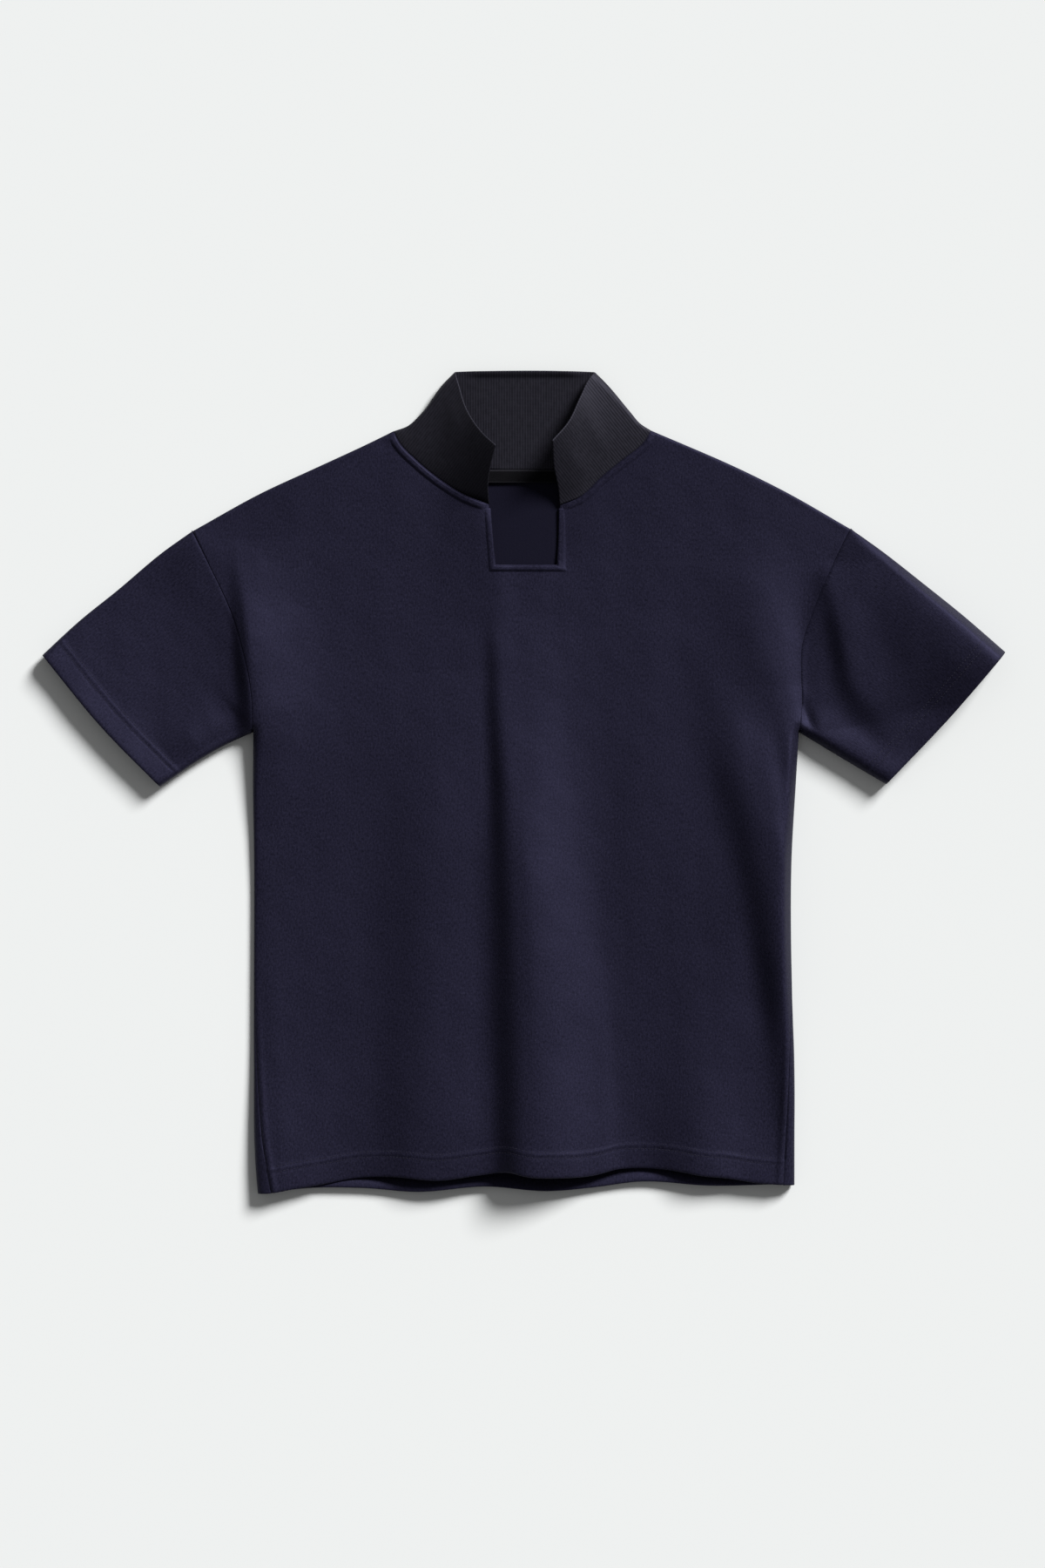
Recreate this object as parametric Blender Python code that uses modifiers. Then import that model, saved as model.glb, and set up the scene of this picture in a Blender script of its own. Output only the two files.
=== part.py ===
"""A cotton jersey polo shirt, laid flat on its back, face up, at real size.

X runs to the viewer's right, Y from the hem to the collar, Z up off the surface that it lies on.
The origin is on that surface, at the middle of the shirt's outline. All tables are in millimetres.
"""
import bpy
import numpy as np

MM = 0.001
WALL = 1.2                # jersey
RIB_WALL = 1.6            # the collar's rib knit
TRIM_WALL = 1.0           # seam edge, notch band and label
SEAM_GAP = 0.3
COLLAR_SEAM_GAP = 0.5     # wider, because the collar's seam turns tightly
NECK_POINT_GAP = 2.3      # the shoulder seams open a little more where they meet the collar
NECK_POINT_REACH = 12.0
LAID_CLEARANCE = 0.35     # between a panel and what lies on it

LOFT = 4.8                # height of the upper layer where the cloth lies smooth
HEM_LOFT = 3.7            # how much more the upper layer stands up at the hem
HEM_LOFT_REACH = 140.0    # and how far up from the hem it does
CUFF_LOFT = 10.5          # and the same at the cuffs, where it grows by a power
CUFF_LOFT_REACH = 120.0
CUFF_LOFT_POWER = 1.4
EDGE_ROUND = 0.6          # plan radius of a folded edge, as a share of the cloth's height
EDGE_POWER = 2.5          # 2 rounds a folded edge as an ellipse, more makes it squarer

HEM_Y = -345.0
UNDERARM_Y = 43.0
NOTCH_Y = 187.0
NOTCH_LEFT_X = -24.0
NOTCH_RIGHT_X = 28.9
NECK_LEFT = (-112.0, 302.0)
NECK_RIGHT = (110.0, 302.5)
COLLAR_DEPTH = 84.0
COLLAR_TIP_HEIGHT = 40.0
COLLAR_FOLD_HEIGHT = 12.0
COLLAR_RISE_POWER = 0.9   # below 1, the flaps stand up sooner from their seam
COLLAR_SPAN_POWER = 1.2   # above 1, the rise gathers towards the tips
BAND_WIDTH = 5.5
BAND_TOP_Y = 235.6        # where the notch band ends, just below the collar
BAND_TOP_LEFT_X = -28.2
BAND_TOP_RIGHT_X = 30.4
BINDING_WIDTH = 6.0
BINDING_INSET = 0.4       # from the neckline to the raised seam edge
BINDING_REACH = (0.1, 0.93)          # from the shoulder to the notch, as shares of the neckline
LABEL_WIDTH = 70.0
LABEL_DEPTH = 10.7

# Side edges of the body in plan
#             y      left   right
SIDE_EDGE = [
    (-354.0, -228.6, 233.2),
    (-330.0, -230.6, 233.1),
    (-240.0, -232.1, 232.9),
    (-180.0, -232.1, 230.9),
    (-60.0, -232.0, 230.7),
    (0.0, -232.8, 234.2),
    (43.0, -232.4, 236.8),
]

# How far the back wraps over each side edge before the side seam, along the cloth
#             y      left   right
SIDE_SEAM = [
    (-354.0, 15.0, 14.0),
    (-300.0, 9.5, 12.0),
    (-240.0, 4.5, 9.5),
    (-180.0, 1.8, 5.0),
    (-60.0, 0.5, 1.5),
    (20.0, 0.0, 0.0),
    (43.0, 0.0, 0.0),
]

# Armhole seams in plan
#             y      left   right
ARMHOLE = [
    (43.0, -232.4, 236.8),
    (70.0, -233.0, 239.5),
    (94.0, -236.1, 238.6),
    (118.0, -242.0, 239.6),
    (142.0, -249.2, 247.1),
    (166.0, -259.7, 256.2),
    (190.0, -271.6, 267.2),
    (216.2, -284.8, 280.4),
    (218.0, -285.7, 281.4),
]

# Shoulder lines, from the sleeve to the neck
#             x      y
SHOULDER_LEFT = [(-284.8, 216.2), (-225.0, 249.2), (-180.0, 270.0), (-135.0, 290.8), NECK_LEFT]
SHOULDER_RIGHT = [(281.4, 218.0), (225.4, 250.0), (180.4, 272.2), (135.4, 291.8), NECK_RIGHT]

# Sleeves: upper and lower edges from the armhole to the cuff, and the cuff from top to bottom
SLEEVE_LEFT = {
    "upper": [(-284.8, 216.2), (-308.6, 199.5), (-350.6, 164.3), (-382.1, 138.8), (-413.6, 109.5)],
    "lower": [(-232.4, 43.0), (-256.1, 32.3), (-277.1, 20.3), (-312.4, -3.8)],
    "cuff": [(-413.6, 109.5), (-361.1, 45.8), (-312.4, -3.8)],
}
SLEEVE_RIGHT = {
    "upper": [(281.4, 218.0), (303.4, 202.5), (345.4, 169.5), (376.9, 144.0), (413.6, 112.0)],
    "lower": [(236.8, 43.0), (250.9, 34.5), (271.9, 21.8), (311.6, -1.6)],
    "cuff": [(413.6, 112.0), (366.4, 56.3), (311.6, -1.6)],
}

# Neckline: the front's two halves run from the shoulder to the notch, the back's from left to right
NECKLINE_LEFT = [NECK_LEFT, (-107.0, 292.5), (-91.9, 276.8), (-74.6, 262.5), (-52.0, 247.8),
                 (-30.0, 238.8)]
NECKLINE_RIGHT = [NECK_RIGHT, (103.5, 292.5), (85.4, 277.6), (67.1, 262.7), (50.0, 246.6),
                  (31.5, 238.8)]
NECKLINE_BACK = [NECK_LEFT, (-85.0, 282.0), (-45.0, 271.3), (0.0, 269.0), (45.0, 271.3),
                 (85.0, 282.0), NECK_RIGHT]

# Collar, from its seam to its free edge: the side folds and the two front ends
COLLAR_FOLD_LEFT = [NECK_LEFT, (-99.4, 306.8), (-88.1, 317.3), (-69.4, 342.4), (-59.6, 352.4)]
COLLAR_FOLD_RIGHT = [NECK_RIGHT, (100.1, 309.0), (91.7, 318.8), (70.7, 343.5), (61.9, 352.2)]
COLLAR_END_LEFT = [NECKLINE_LEFT[-1], (-31.1, 254.3), (-29.6, 267.8), (-24.8, 288.0)]
COLLAR_END_RIGHT = [NECKLINE_RIGHT[-1], (30.4, 252.0), (26.6, 271.5), (25.5, 291.8)]
# and its free edge: each flap from its tip to the fold, and the back between the folds
FLAP_EDGE_LEFT = [(-24.8, 288.0), (-36.4, 299.3), (-49.9, 320.3), (-56.6, 342.0), (-59.6, 352.4)]
FLAP_EDGE_RIGHT = [(25.5, 291.8), (39.2, 308.3), (49.7, 331.0), (57.4, 347.0), (61.9, 352.2)]
COLLAR_BACK_EDGE = [(-59.6, 352.4), (-20.0, 353.2), (25.0, 353.2), (61.9, 352.2)]

# Hems in plan, from left to right: the upper layer's waves and the lower layer's
#             x       y
FRONT_HEM = [
    (-229.0, -353.4), (-218.0, -353.0), (-198.0, -349.6), (-170.0, -345.0), (-144.0, -340.4),
    (-115.0, -339.0), (-71.0, -341.9), (-38.0, -337.5), (-11.0, -335.0), (2.0, -338.0),
    (30.0, -339.3), (62.0, -337.2), (81.0, -332.6), (103.0, -331.7), (130.0, -333.8),
    (153.0, -337.9), (175.0, -340.0), (200.0, -344.0), (222.0, -345.8), (234.0, -346.0),
]
BACK_HEM = [
    (-229.0, -353.4), (-218.0, -353.0), (-198.0, -349.8), (-140.0, -348.5), (-93.0, -351.8),
    (-33.0, -347.3), (22.0, -351.0), (62.0, -347.8), (98.0, -343.2), (161.0, -346.4),
    (222.0, -345.8), (234.0, -346.0),
]

# Two lines of the front's mesh that follow the middle fold: its steep left side and its right foot
#        y     steep    foot
FOLD_LINES = [
    (-350.0, -7.0, 81.5),
    (-256.0, -13.1, 75.5),
    (-166.0, -14.6, 67.5),
    (-76.0, -18.4, 60.0),
    (13.0, -22.9, 50.0),
    (103.0, -25.1, 43.0),
    (150.0, -26.0, 37.0),
    (187.0, -24.0, 28.9),
]

# Folds of the upper layer. Each row is a place on the crest, from the collar's end to the hem's,
# with its height and how far it spreads to the viewer's left and right; a higher power steepens
# that side.
#                   x       y   height  left  right
FOLDS = {
    "middle": {"left_power": 3.4, "right_power": 2.6, "rows": [
        (-21.0, 162.0, 0.0, 12.0, 45.0),
        (-18.0, 140.0, 1.0, 12.5, 46.0),
        (-17.0, 118.0, 3.2, 13.0, 48.0),
        (-15.0, 98.0, 5.0, 13.5, 50.0),
        (-13.0, 58.0, 7.5, 15.0, 50.0),
        (-8.0, 14.0, 10.5, 17.5, 48.0),
        (-3.0, -32.0, 13.5, 21.0, 46.0),
        (2.0, -76.0, 16.5, 25.0, 43.0),
        (7.0, -122.0, 18.0, 28.0, 43.0),
        (10.0, -170.0, 19.5, 30.0, 44.0),
        (12.0, -256.0, 20.0, 30.0, 47.0),
        (12.0, -302.0, 19.5, 29.0, 48.0),
        (11.0, -362.0, 17.0, 26.0, 52.0),
    ]},
    "left_of_middle": {"left_power": 2.4, "right_power": 2.0, "rows": [
        (-64.0, 95.0, 0.0, 54.0, 60.0),
        (-64.0, 50.0, 2.5, 52.0, 60.0),
        (-63.0, -32.0, 7.0, 54.0, 60.0),
        (-62.0, -122.0, 9.0, 54.0, 62.0),
        (-62.0, -212.0, 11.0, 56.0, 64.0),
        (-63.0, -302.0, 11.0, 56.0, 64.0),
        (-72.0, -362.0, 8.0, 50.0, 70.0),
    ]},
    "left_side": {"left_power": 3.0, "right_power": 1.35, "rows": [
        (-244.0, 208.0, 0.0, 10.0, 36.0),
        (-242.0, 190.0, 1.0, 10.0, 36.0),
        (-240.0, 172.0, 3.0, 10.0, 36.0),
        (-239.5, 152.0, 5.0, 10.0, 36.0),
        (-236.5, 134.0, 7.5, 10.5, 36.0),
        (-233.0, 104.0, 9.0, 12.0, 36.0),
        (-229.0, 74.0, 9.0, 13.5, 38.0),
        (-225.5, 52.0, 9.0, 16.0, 38.0),
        (-225.0, 30.0, 5.5, 14.0, 44.0),
        (-223.0, 0.0, 2.6, 16.0, 46.0),
        (-220.0, -60.0, 1.4, 18.0, 42.0),
        (-214.0, -200.0, 2.0, 20.0, 36.0),
        (-208.0, -362.0, 6.0, 24.0, 38.0),
    ]},
    "left_sleeve_slope": {"left_power": 2.0, "right_power": 2.0, "rows": [
        (-236.0, 206.0, 0.0, 32.0, 40.0),
        (-232.0, 170.0, 2.2, 32.0, 40.0),
        (-230.0, 134.0, 4.5, 33.0, 38.0),
        (-226.0, 80.0, 5.5, 35.0, 38.0),
        (-224.0, 20.0, 3.0, 32.0, 38.0),
        (-220.0, -40.0, 0.0, 30.0, 38.0),
    ]},
    "right_above_underarm": {"left_power": 2.0, "right_power": 3.0, "rows": [
        (190.0, 220.0, 0.0, 30.0, 34.0),
        (196.0, 196.0, 1.2, 30.0, 34.0),
        (199.0, 174.0, 3.6, 32.0, 34.0),
        (204.0, 149.0, 6.0, 34.0, 29.0),
        (212.0, 119.0, 6.2, 30.0, 23.0),
        (216.0, 100.0, 6.0, 26.0, 20.0),
        (222.0, 74.0, 4.4, 20.0, 16.0),
        (226.0, 52.0, 2.8, 14.0, 14.0),
        (229.0, 30.0, 1.8, 11.0, 12.0),
        (233.0, 0.0, 0.0, 8.0, 10.0),
    ]},
    "right_below_underarm": {"left_power": 3.2, "right_power": 2.0, "rows": [
        (160.0, 140.0, 0.0, 26.0, 60.0),
        (173.0, 104.0, 3.0, 28.0, 60.0),
        (190.0, 58.0, 5.5, 34.0, 60.0),
        (201.0, 14.0, 9.5, 34.0, 64.0),
        (214.0, -32.0, 12.5, 32.0, 50.0),
        (221.0, -76.0, 13.0, 29.0, 45.0),
        (226.0, -122.0, 13.0, 26.0, 35.0),
        (230.0, -170.0, 12.5, 23.0, 30.0),
        (233.0, -212.0, 10.0, 21.0, 30.0),
        (236.0, -256.0, 8.0, 20.0, 30.0),
        (238.0, -302.0, 4.0, 18.0, 30.0),
        (239.0, -345.0, 0.0, 15.0, 30.0),
    ]},
    "right_swell": {"left_power": 4.0, "right_power": 2.0, "rows": [
        (165.0, 150.0, 0.0, 110.0, 60.0),
        (170.0, 60.0, 3.0, 115.0, 60.0),
        (175.0, -30.0, 6.0, 120.0, 55.0),
        (175.0, -120.0, 7.0, 120.0, 50.0),
        (170.0, -220.0, 6.0, 115.0, 55.0),
        (165.0, -300.0, 3.5, 110.0, 60.0),
        (165.0, -362.0, 2.5, 110.0, 60.0),
    ]},
    "lower_right": {"left_power": 2.0, "right_power": 2.0, "rows": [
        (148.0, -140.0, 0.0, 24.0, 28.0),
        (151.0, -210.0, 2.2, 26.0, 30.0),
        (153.0, -290.0, 5.0, 28.0, 33.0),
        (154.0, -362.0, 7.2, 30.0, 36.0),
    ]},
    "right_hem_corner": {"left_power": 2.0, "right_power": 2.0, "rows": [
        (214.0, -250.0, 0.0, 20.0, 24.0),
        (216.0, -362.0, 3.4, 24.0, 24.0),
    ]},
    "right_sleeve_cap": {"left_power": 3.0, "right_power": 2.0, "rows": [
        (268.0, 190.0, 0.0, 18.0, 60.0),
        (267.0, 160.0, 3.0, 20.0, 60.0),
        (268.0, 119.0, 4.6, 24.0, 60.0),
        (270.0, 89.0, 4.6, 26.0, 60.0),
        (270.0, 64.0, 3.0, 24.0, 60.0),
        (272.0, 46.0, 0.0, 20.0, 60.0),
    ]},
    "right_sleeve_step": {"left_power": 2.4, "right_power": 2.0, "rows": [
        (261.0, 190.0, 0.0, 9.0, 50.0),
        (268.0, 164.0, 3.4, 11.0, 55.0),
        (275.0, 134.0, 7.0, 12.0, 60.0),
        (281.5, 104.0, 7.5, 13.0, 60.0),
        (286.0, 88.0, 7.0, 15.0, 56.0),
        (296.0, 73.0, 6.5, 17.0, 46.0),
        (309.0, 58.0, 4.6, 17.0, 36.0),
        (320.0, 44.0, 2.2, 16.0, 30.0),
        (330.0, 28.0, 0.0, 16.0, 26.0),
    ]},
    "right_sleeve_upper_edge": {"left_power": 2.0, "right_power": 2.0, "rows": [
        (276.0, 214.0, 0.0, 34.0, 40.0),
        (298.0, 198.0, 5.0, 38.0, 40.0),
        (318.0, 181.0, 9.0, 42.0, 40.0),
        (342.0, 160.0, 12.5, 45.0, 40.0),
        (366.0, 139.0, 14.5, 48.0, 40.0),
        (392.0, 116.0, 15.0, 50.0, 40.0),
        (406.0, 102.0, 14.0, 50.0, 40.0),
    ]},
    "right_sleeve_lower_edge": {"left_power": 2.0, "right_power": 2.0, "rows": [
        (248.0, 62.0, 0.0, 10.0, 16.0),
        (258.0, 46.0, 3.0, 11.0, 18.0),
        (271.0, 36.0, 3.6, 11.0, 20.0),
        (287.0, 26.0, 3.4, 11.0, 20.0),
        (301.0, 17.0, 3.0, 11.0, 18.0),
        (312.0, 10.0, 2.0, 11.0, 14.0),
    ]},
    "left_sleeve_lower_edge": {"left_power": 2.0, "right_power": 2.0, "rows": [
        (-250.0, 60.0, 0.0, 20.0, 12.0),
        (-262.0, 51.0, 3.5, 22.0, 13.0),
        (-275.0, 43.0, 4.0, 22.0, 14.0),
        (-290.0, 33.0, 2.6, 22.0, 14.0),
        (-306.0, 22.0, 0.0, 20.0, 14.0),
    ]},
}

# Where the lower layer is lifted off the surface at the hem: middle, spread and height
HEM_LIFTS = [(-212.0, 26.0, 4.0), (-72.0, 30.0, 4.5), (16.0, 34.0, 6.0), (158.0, 30.0, 4.5)]
HEM_LIFT_REACH = 52.0
HEM_LIFT_FLOOR = 0.4      # lifts lower than this lie flat

SHADES = {                # colour, roughness
    "jersey": ((0.016, 0.017, 0.034, 1.0), 0.9),
    "rib": ((0.018, 0.018, 0.022, 1.0), 0.85),
    "tape": ((0.012, 0.012, 0.014, 1.0), 0.8),
}


# ---------------------------------------------------------------- curves and patches

def hermite(knots, values, at):
    """Smooth values at places between knots, with slopes taken from the neighbouring knots."""
    slopes = np.gradient(values, knots, axis=0)
    at = np.clip(at, knots[0], knots[-1])
    cell = np.clip(np.searchsorted(knots, at, side="right") - 1, 0, len(knots) - 2)
    span = (knots[cell + 1] - knots[cell])[..., None]
    part = (at - knots[cell])[..., None] / span
    start = values[cell] * (2 * part**3 - 3 * part**2 + 1)
    end = values[cell + 1] * (3 * part**2 - 2 * part**3)
    bend = slopes[cell] * (part**3 - 2 * part**2 + part) + slopes[cell + 1] * (part**3 - part**2)
    return start + end + bend * span


def read_table(rows, at):
    """The columns after the first of a table, at places in its first column."""
    rows = np.asarray(rows, float)
    columns = hermite(rows[:, 0], rows[:, 1:], np.asarray(at, float))
    return np.moveaxis(columns, -1, 0)


def along(points, fractions):
    """A smooth curve through points in plan, at fractions of its length. Other columns follow."""
    points = np.asarray(points, float)
    steps = np.linalg.norm(np.diff(points[:, :2], axis=0), axis=1)
    knots = np.concatenate([[0.0], np.cumsum(steps)])
    return hermite(knots, points, np.asarray(fractions, float) * knots[-1])


def ease(count, pull):
    """Fractions from 0 to 1, closer together at both ends by the pull."""
    even = np.linspace(0.0, 1.0, count + 1)
    return even - pull * np.sin(2 * np.pi * even) / (2 * np.pi)


def nearest_on_path(x, y, path):
    """Distance to a path, which side of it, and the path's columns at its nearest place."""
    start, run = path[:-1], np.diff(path, axis=0)
    reach_x = x[..., None] - start[:, 0]
    reach_y = y[..., None] - start[:, 1]
    length = run[:, 0]**2 + run[:, 1]**2
    part = np.clip((reach_x * run[:, 0] + reach_y * run[:, 1]) / length, 0.0, 1.0)
    gap_x = reach_x - part * run[:, 0]
    gap_y = reach_y - part * run[:, 1]
    distance = np.hypot(gap_x, gap_y)
    best = distance.argmin(-1)[..., None]
    pick = lambda values: np.take_along_axis(values, best, -1)[..., 0]
    side = pick(run[:, 0] * gap_y - run[:, 1] * gap_x)
    columns = start[best[..., 0]] + pick(part)[..., None] * run[best[..., 0]]
    return pick(distance), side, columns


def smooth_step(values):
    values = np.clip(values, 0.0, 1.0)
    return values * values * (3 - 2 * values)


# ---------------------------------------------------------------- the laid cloth as heights

SIDE_SAMPLES = 240        # how finely the plan lines are sampled where distances are measured
EDGE_SAMPLES = 110
CUFF_SAMPLES = 12
CREST_SAMPLES = 28


def folded_edges():
    """The plan lines where the cloth turns over: the sides, sleeves and shoulders."""
    heights = np.linspace(SIDE_EDGE[0][0], UNDERARM_Y, SIDE_SAMPLES)
    left, right = read_table(SIDE_EDGE, heights)
    fractions = np.linspace(0.0, 1.0, EDGE_SAMPLES)
    edges = [np.stack([left, heights], -1), np.stack([right, heights], -1)]
    for points in (SHOULDER_LEFT, SHOULDER_RIGHT, SLEEVE_LEFT["upper"], SLEEVE_LEFT["lower"],
                   SLEEVE_RIGHT["upper"], SLEEVE_RIGHT["lower"]):
        edges.append(along(points, fractions))
    return edges


EDGES = folded_edges()
CUFFS = [along(sleeve["cuff"], np.linspace(0.0, 1.0, CUFF_SAMPLES))
         for sleeve in (SLEEVE_LEFT, SLEEVE_RIGHT)]
CRESTS = [(along(fold["rows"], np.linspace(0.0, 1.0, CREST_SAMPLES)), fold["left_power"],
           fold["right_power"]) for fold in FOLDS.values()]


def edge_distance(x, y):
    return np.min([nearest_on_path(x, y, edge)[0] for edge in EDGES], axis=0)


def upper_height(x, y):
    """Outside of the upper layer away from its folded edges: its loft and all the folds."""
    height = LOFT + HEM_LOFT * smooth_step(1 - (y - HEM_Y) / HEM_LOFT_REACH)
    for cuff in CUFFS:
        rise = np.clip(1 - nearest_on_path(x, y, cuff)[0] / CUFF_LOFT_REACH, 0.0, 1.0)
        height = height + CUFF_LOFT * rise**CUFF_LOFT_POWER
    for crest, left_power, right_power in CRESTS:
        distance, side, columns = nearest_on_path(x, y, crest)
        to_right = side > 0
        spread = np.where(to_right, columns[..., 4], columns[..., 3])
        power = np.where(to_right, right_power, left_power)
        height = height + columns[..., 2] * np.exp(-(distance / spread)**power)
    return height


def lower_height(x, y):
    """Underside of the lower layer: flat on the surface, but for the lifts at the hem."""
    fade = smooth_step(1 - (y - HEM_Y) / HEM_LIFT_REACH)
    lift = sum(height * np.exp(-((x - middle) / spread)**2) for middle, spread, height in HEM_LIFTS)
    return np.maximum(lift * fade - HEM_LIFT_FLOOR, 0.0)


def cloth_height(x, y, side):
    """Outer surface of the laid cloth: side 1 is the upper layer, -1 the lower, 0 a folded edge."""
    top, bottom = upper_height(x, y), lower_height(x, y)
    half = (top - bottom) / 2
    turn = np.clip(1 - edge_distance(x, y) / (EDGE_ROUND * 2 * half), 0.0, 1.0)
    full = (1 - turn**EDGE_POWER)**(1 / EDGE_POWER)
    from_neck = np.minimum(*(np.hypot(x - neck[0], y - neck[1]) for neck in (NECK_LEFT, NECK_RIGHT)))
    seam = SEAM_GAP + (NECK_POINT_GAP - SEAM_GAP) * smooth_step(1 - from_neck / NECK_POINT_REACH)
    return bottom + half + side * np.maximum(half * full, seam / 2)


def lay(plan, side):
    """Points in plan given their height on the laid cloth."""
    x, y = plan[..., 0], plan[..., 1]
    return np.stack([x, y, cloth_height(x, y, side)], -1)


def roll(arc, radius):
    """Plan distance from a folded edge, for a length along the cloth from that edge."""
    quarter = radius * np.pi / 2
    arc = np.abs(arc)
    return np.where(arc < quarter, radius * (1 - np.cos(np.minimum(arc, quarter) / radius)),
                    radius + arc - quarter)


def unroll(distance, radius):
    """Length along the cloth from a folded edge, for a plan distance well past its rounding."""
    return distance - radius + radius * np.pi / 2


def patch(bottom, top, left, right, across, up):
    """A surface in plan between four curves. The curves are functions of a fraction."""
    across = np.broadcast_to(across, up.shape)
    a, u = across[..., None], up[..., None]
    corners = ((1 - a) * (1 - u) * bottom(0.0) + a * (1 - u) * bottom(1.0)
               + (1 - a) * u * top(0.0) + a * u * top(1.0))
    return ((1 - u) * bottom(across) + u * top(across)
            + (1 - a) * left(up) + a * right(up) - corners)


# ---------------------------------------------------------------- meshes

def new_material(name, shade):
    colour, roughness = SHADES[shade]
    material = bpy.data.materials.new(name)
    material.use_nodes = True
    surface = material.node_tree.nodes["Principled BSDF"]
    surface.inputs["Base Color"].default_value = colour
    surface.inputs["Roughness"].default_value = roughness
    surface.inputs["Metallic"].default_value = 0.0
    material.diffuse_color = colour
    return material


def grid_faces(rows, columns, closed, inside_out):
    """Quads of a grid of points that are numbered row by row."""
    faces = []
    for row in range(rows - 1):
        for column in range(columns if closed else columns - 1):
            beside = (column + 1) % columns
            face = (row * columns + column, row * columns + beside,
                    (row + 1) * columns + beside, (row + 1) * columns + column)
            faces.append(face[::-1] if inside_out else face)
    return faces


def cloth_piece(name, shade, grids, wall, collection, closed=False, inside_out=False, outward=False):
    """A cloth wall from grids of points on its surface, joined where their edges meet."""
    places, faces, numbers = [], [], {}
    for grid in grids:
        rows, columns = grid.shape[:2]
        renumber = []
        for place in grid.reshape(-1, 3):
            key = tuple(np.round(place, 4))
            if key not in numbers:
                numbers[key] = len(places)
                places.append(place * MM)
            renumber.append(numbers[key])
        for face in grid_faces(rows, columns, closed, inside_out):
            faces.append(tuple(renumber[corner] for corner in face))
    mesh = bpy.data.meshes.new(name)
    mesh.from_pydata([tuple(place) for place in places], [], faces)
    mesh.shade_smooth()
    mesh.materials.append(new_material(name, shade))
    piece = bpy.data.objects.new(name, mesh)
    collection.objects.link(piece)
    thickness = piece.modifiers.new("wall", "SOLIDIFY")
    thickness.thickness = wall * MM
    thickness.offset = 1.0 if outward else -1.0
    thickness.use_quality_normals = True
    return piece


# ---------------------------------------------------------------- body

LOW_ROWS = 16             # hem to underarm
CHEST_ROWS = 8            # underarm to the notch
YOKE_ROWS = 5             # notch to the neck, before the rows along the rounded edge
EDGE_ROWS = np.array([4.0, 1.8, 0.5, 0.03, 0.0])     # distances from the shoulder and neckline
SEAM_COLUMN = 0.3         # a narrow column or row along each seam keeps the rim of the wall square
FRONT_COLUMNS = (15, 8, 13)                          # side to fold, across the fold, to the side
WRAP_COLUMNS = 5
BACK_COLUMNS = 22


def side_lines(y):
    """Both side lines of the body in plan: the folded edge below the underarm, the armhole above."""
    below, above = read_table(SIDE_EDGE, y), read_table(ARMHOLE, y)
    return np.where(y < UNDERARM_Y, below, above)


def body_rows(hem, x):
    """Heights of the rows from the hem to the notch, one column of y for each x."""
    hem_y = read_table(hem, x)[0]
    low = np.linspace(0.0, 1.0, LOW_ROWS + 1)[:, None]
    chest = np.linspace(0.0, 1.0, CHEST_ROWS + 1)[1:, None]
    below = hem_y + (UNDERARM_Y - hem_y) * low
    above = UNDERARM_Y + (NOTCH_Y - UNDERARM_Y) * chest * np.ones_like(hem_y)
    return np.concatenate([below, above])


def settle_rows(hem, columns_at):
    """Places of a grid whose columns depend on y and whose rows depend on x at the hem."""
    y = np.linspace(HEM_Y, NOTCH_Y, LOW_ROWS + CHEST_ROWS + 1)[:, None]
    for _ in range(6):
        x = columns_at(y)
        y = np.stack([body_rows(hem, x[row])[row] for row in range(len(x))])
    return columns_at(y), y


def edge_radius(edge_x, y):
    return EDGE_ROUND * (upper_height(edge_x, y) - lower_height(edge_x, y))


def front_columns(y):
    """The front's columns in plan: from the left seam to the two fold lines and the right seam."""
    near, middle, far = FRONT_COLUMNS
    y = np.broadcast_to(y, (len(y), near + middle + far + 3))
    edges, seams = side_lines(y), np.maximum(read_table(SIDE_SEAM, y), 0.0) + SEAM_GAP / 2
    steep, foot = read_table(FOLD_LINES, y)
    part = slice(0, near + 2)
    edge, start = edges[0][:, part], seams[0][:, part]
    radius = edge_radius(edge, y[:, part])
    from_seam = np.concatenate([[0.0], ease(near, 0.85)])
    arc = start + from_seam * (unroll(steep[:, part] - edge, radius) - start)
    arc[:, 1] = arc[:, 0] + SEAM_COLUMN
    x_left = edge + roll(arc, radius)
    part = slice(near + 2, near + 2 + middle)
    x_middle = steep[:, part] + ease(middle, 0.6)[1:] * (foot - steep)[:, part]
    part = slice(-far - 1, None)
    edge, stop = edges[1][:, part], seams[1][:, part]
    radius = edge_radius(edge, y[:, part])
    from_seam = np.concatenate([1 - ease(far, 0.85)[1:], [0.0]])
    arc = stop + from_seam * (unroll(edge - foot[:, part], radius) - stop)
    arc[:, -2] = arc[:, -1] + SEAM_COLUMN
    x_right = edge - roll(arc, radius)
    return np.concatenate([x_left, x_middle, x_right], axis=1)


def yoke_shares(length):
    """Shares of the way from the notch's level to the top, closer along that edge."""
    edge = 1 - EDGE_ROWS[:, None] / length
    even = np.linspace(0.0, 1.0, YOKE_ROWS + 1)[:-1, None] * edge[0]
    return np.concatenate([even, edge])


def armhole_places(side, upper_y, shift, shares):
    """Places on the armhole seam between the notch's level and the shoulder."""
    heights = NOTCH_Y + (upper_y - NOTCH_Y) * np.asarray(shares, float)
    return np.stack([read_table(ARMHOLE, heights)[side] + shift, heights], -1)


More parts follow.
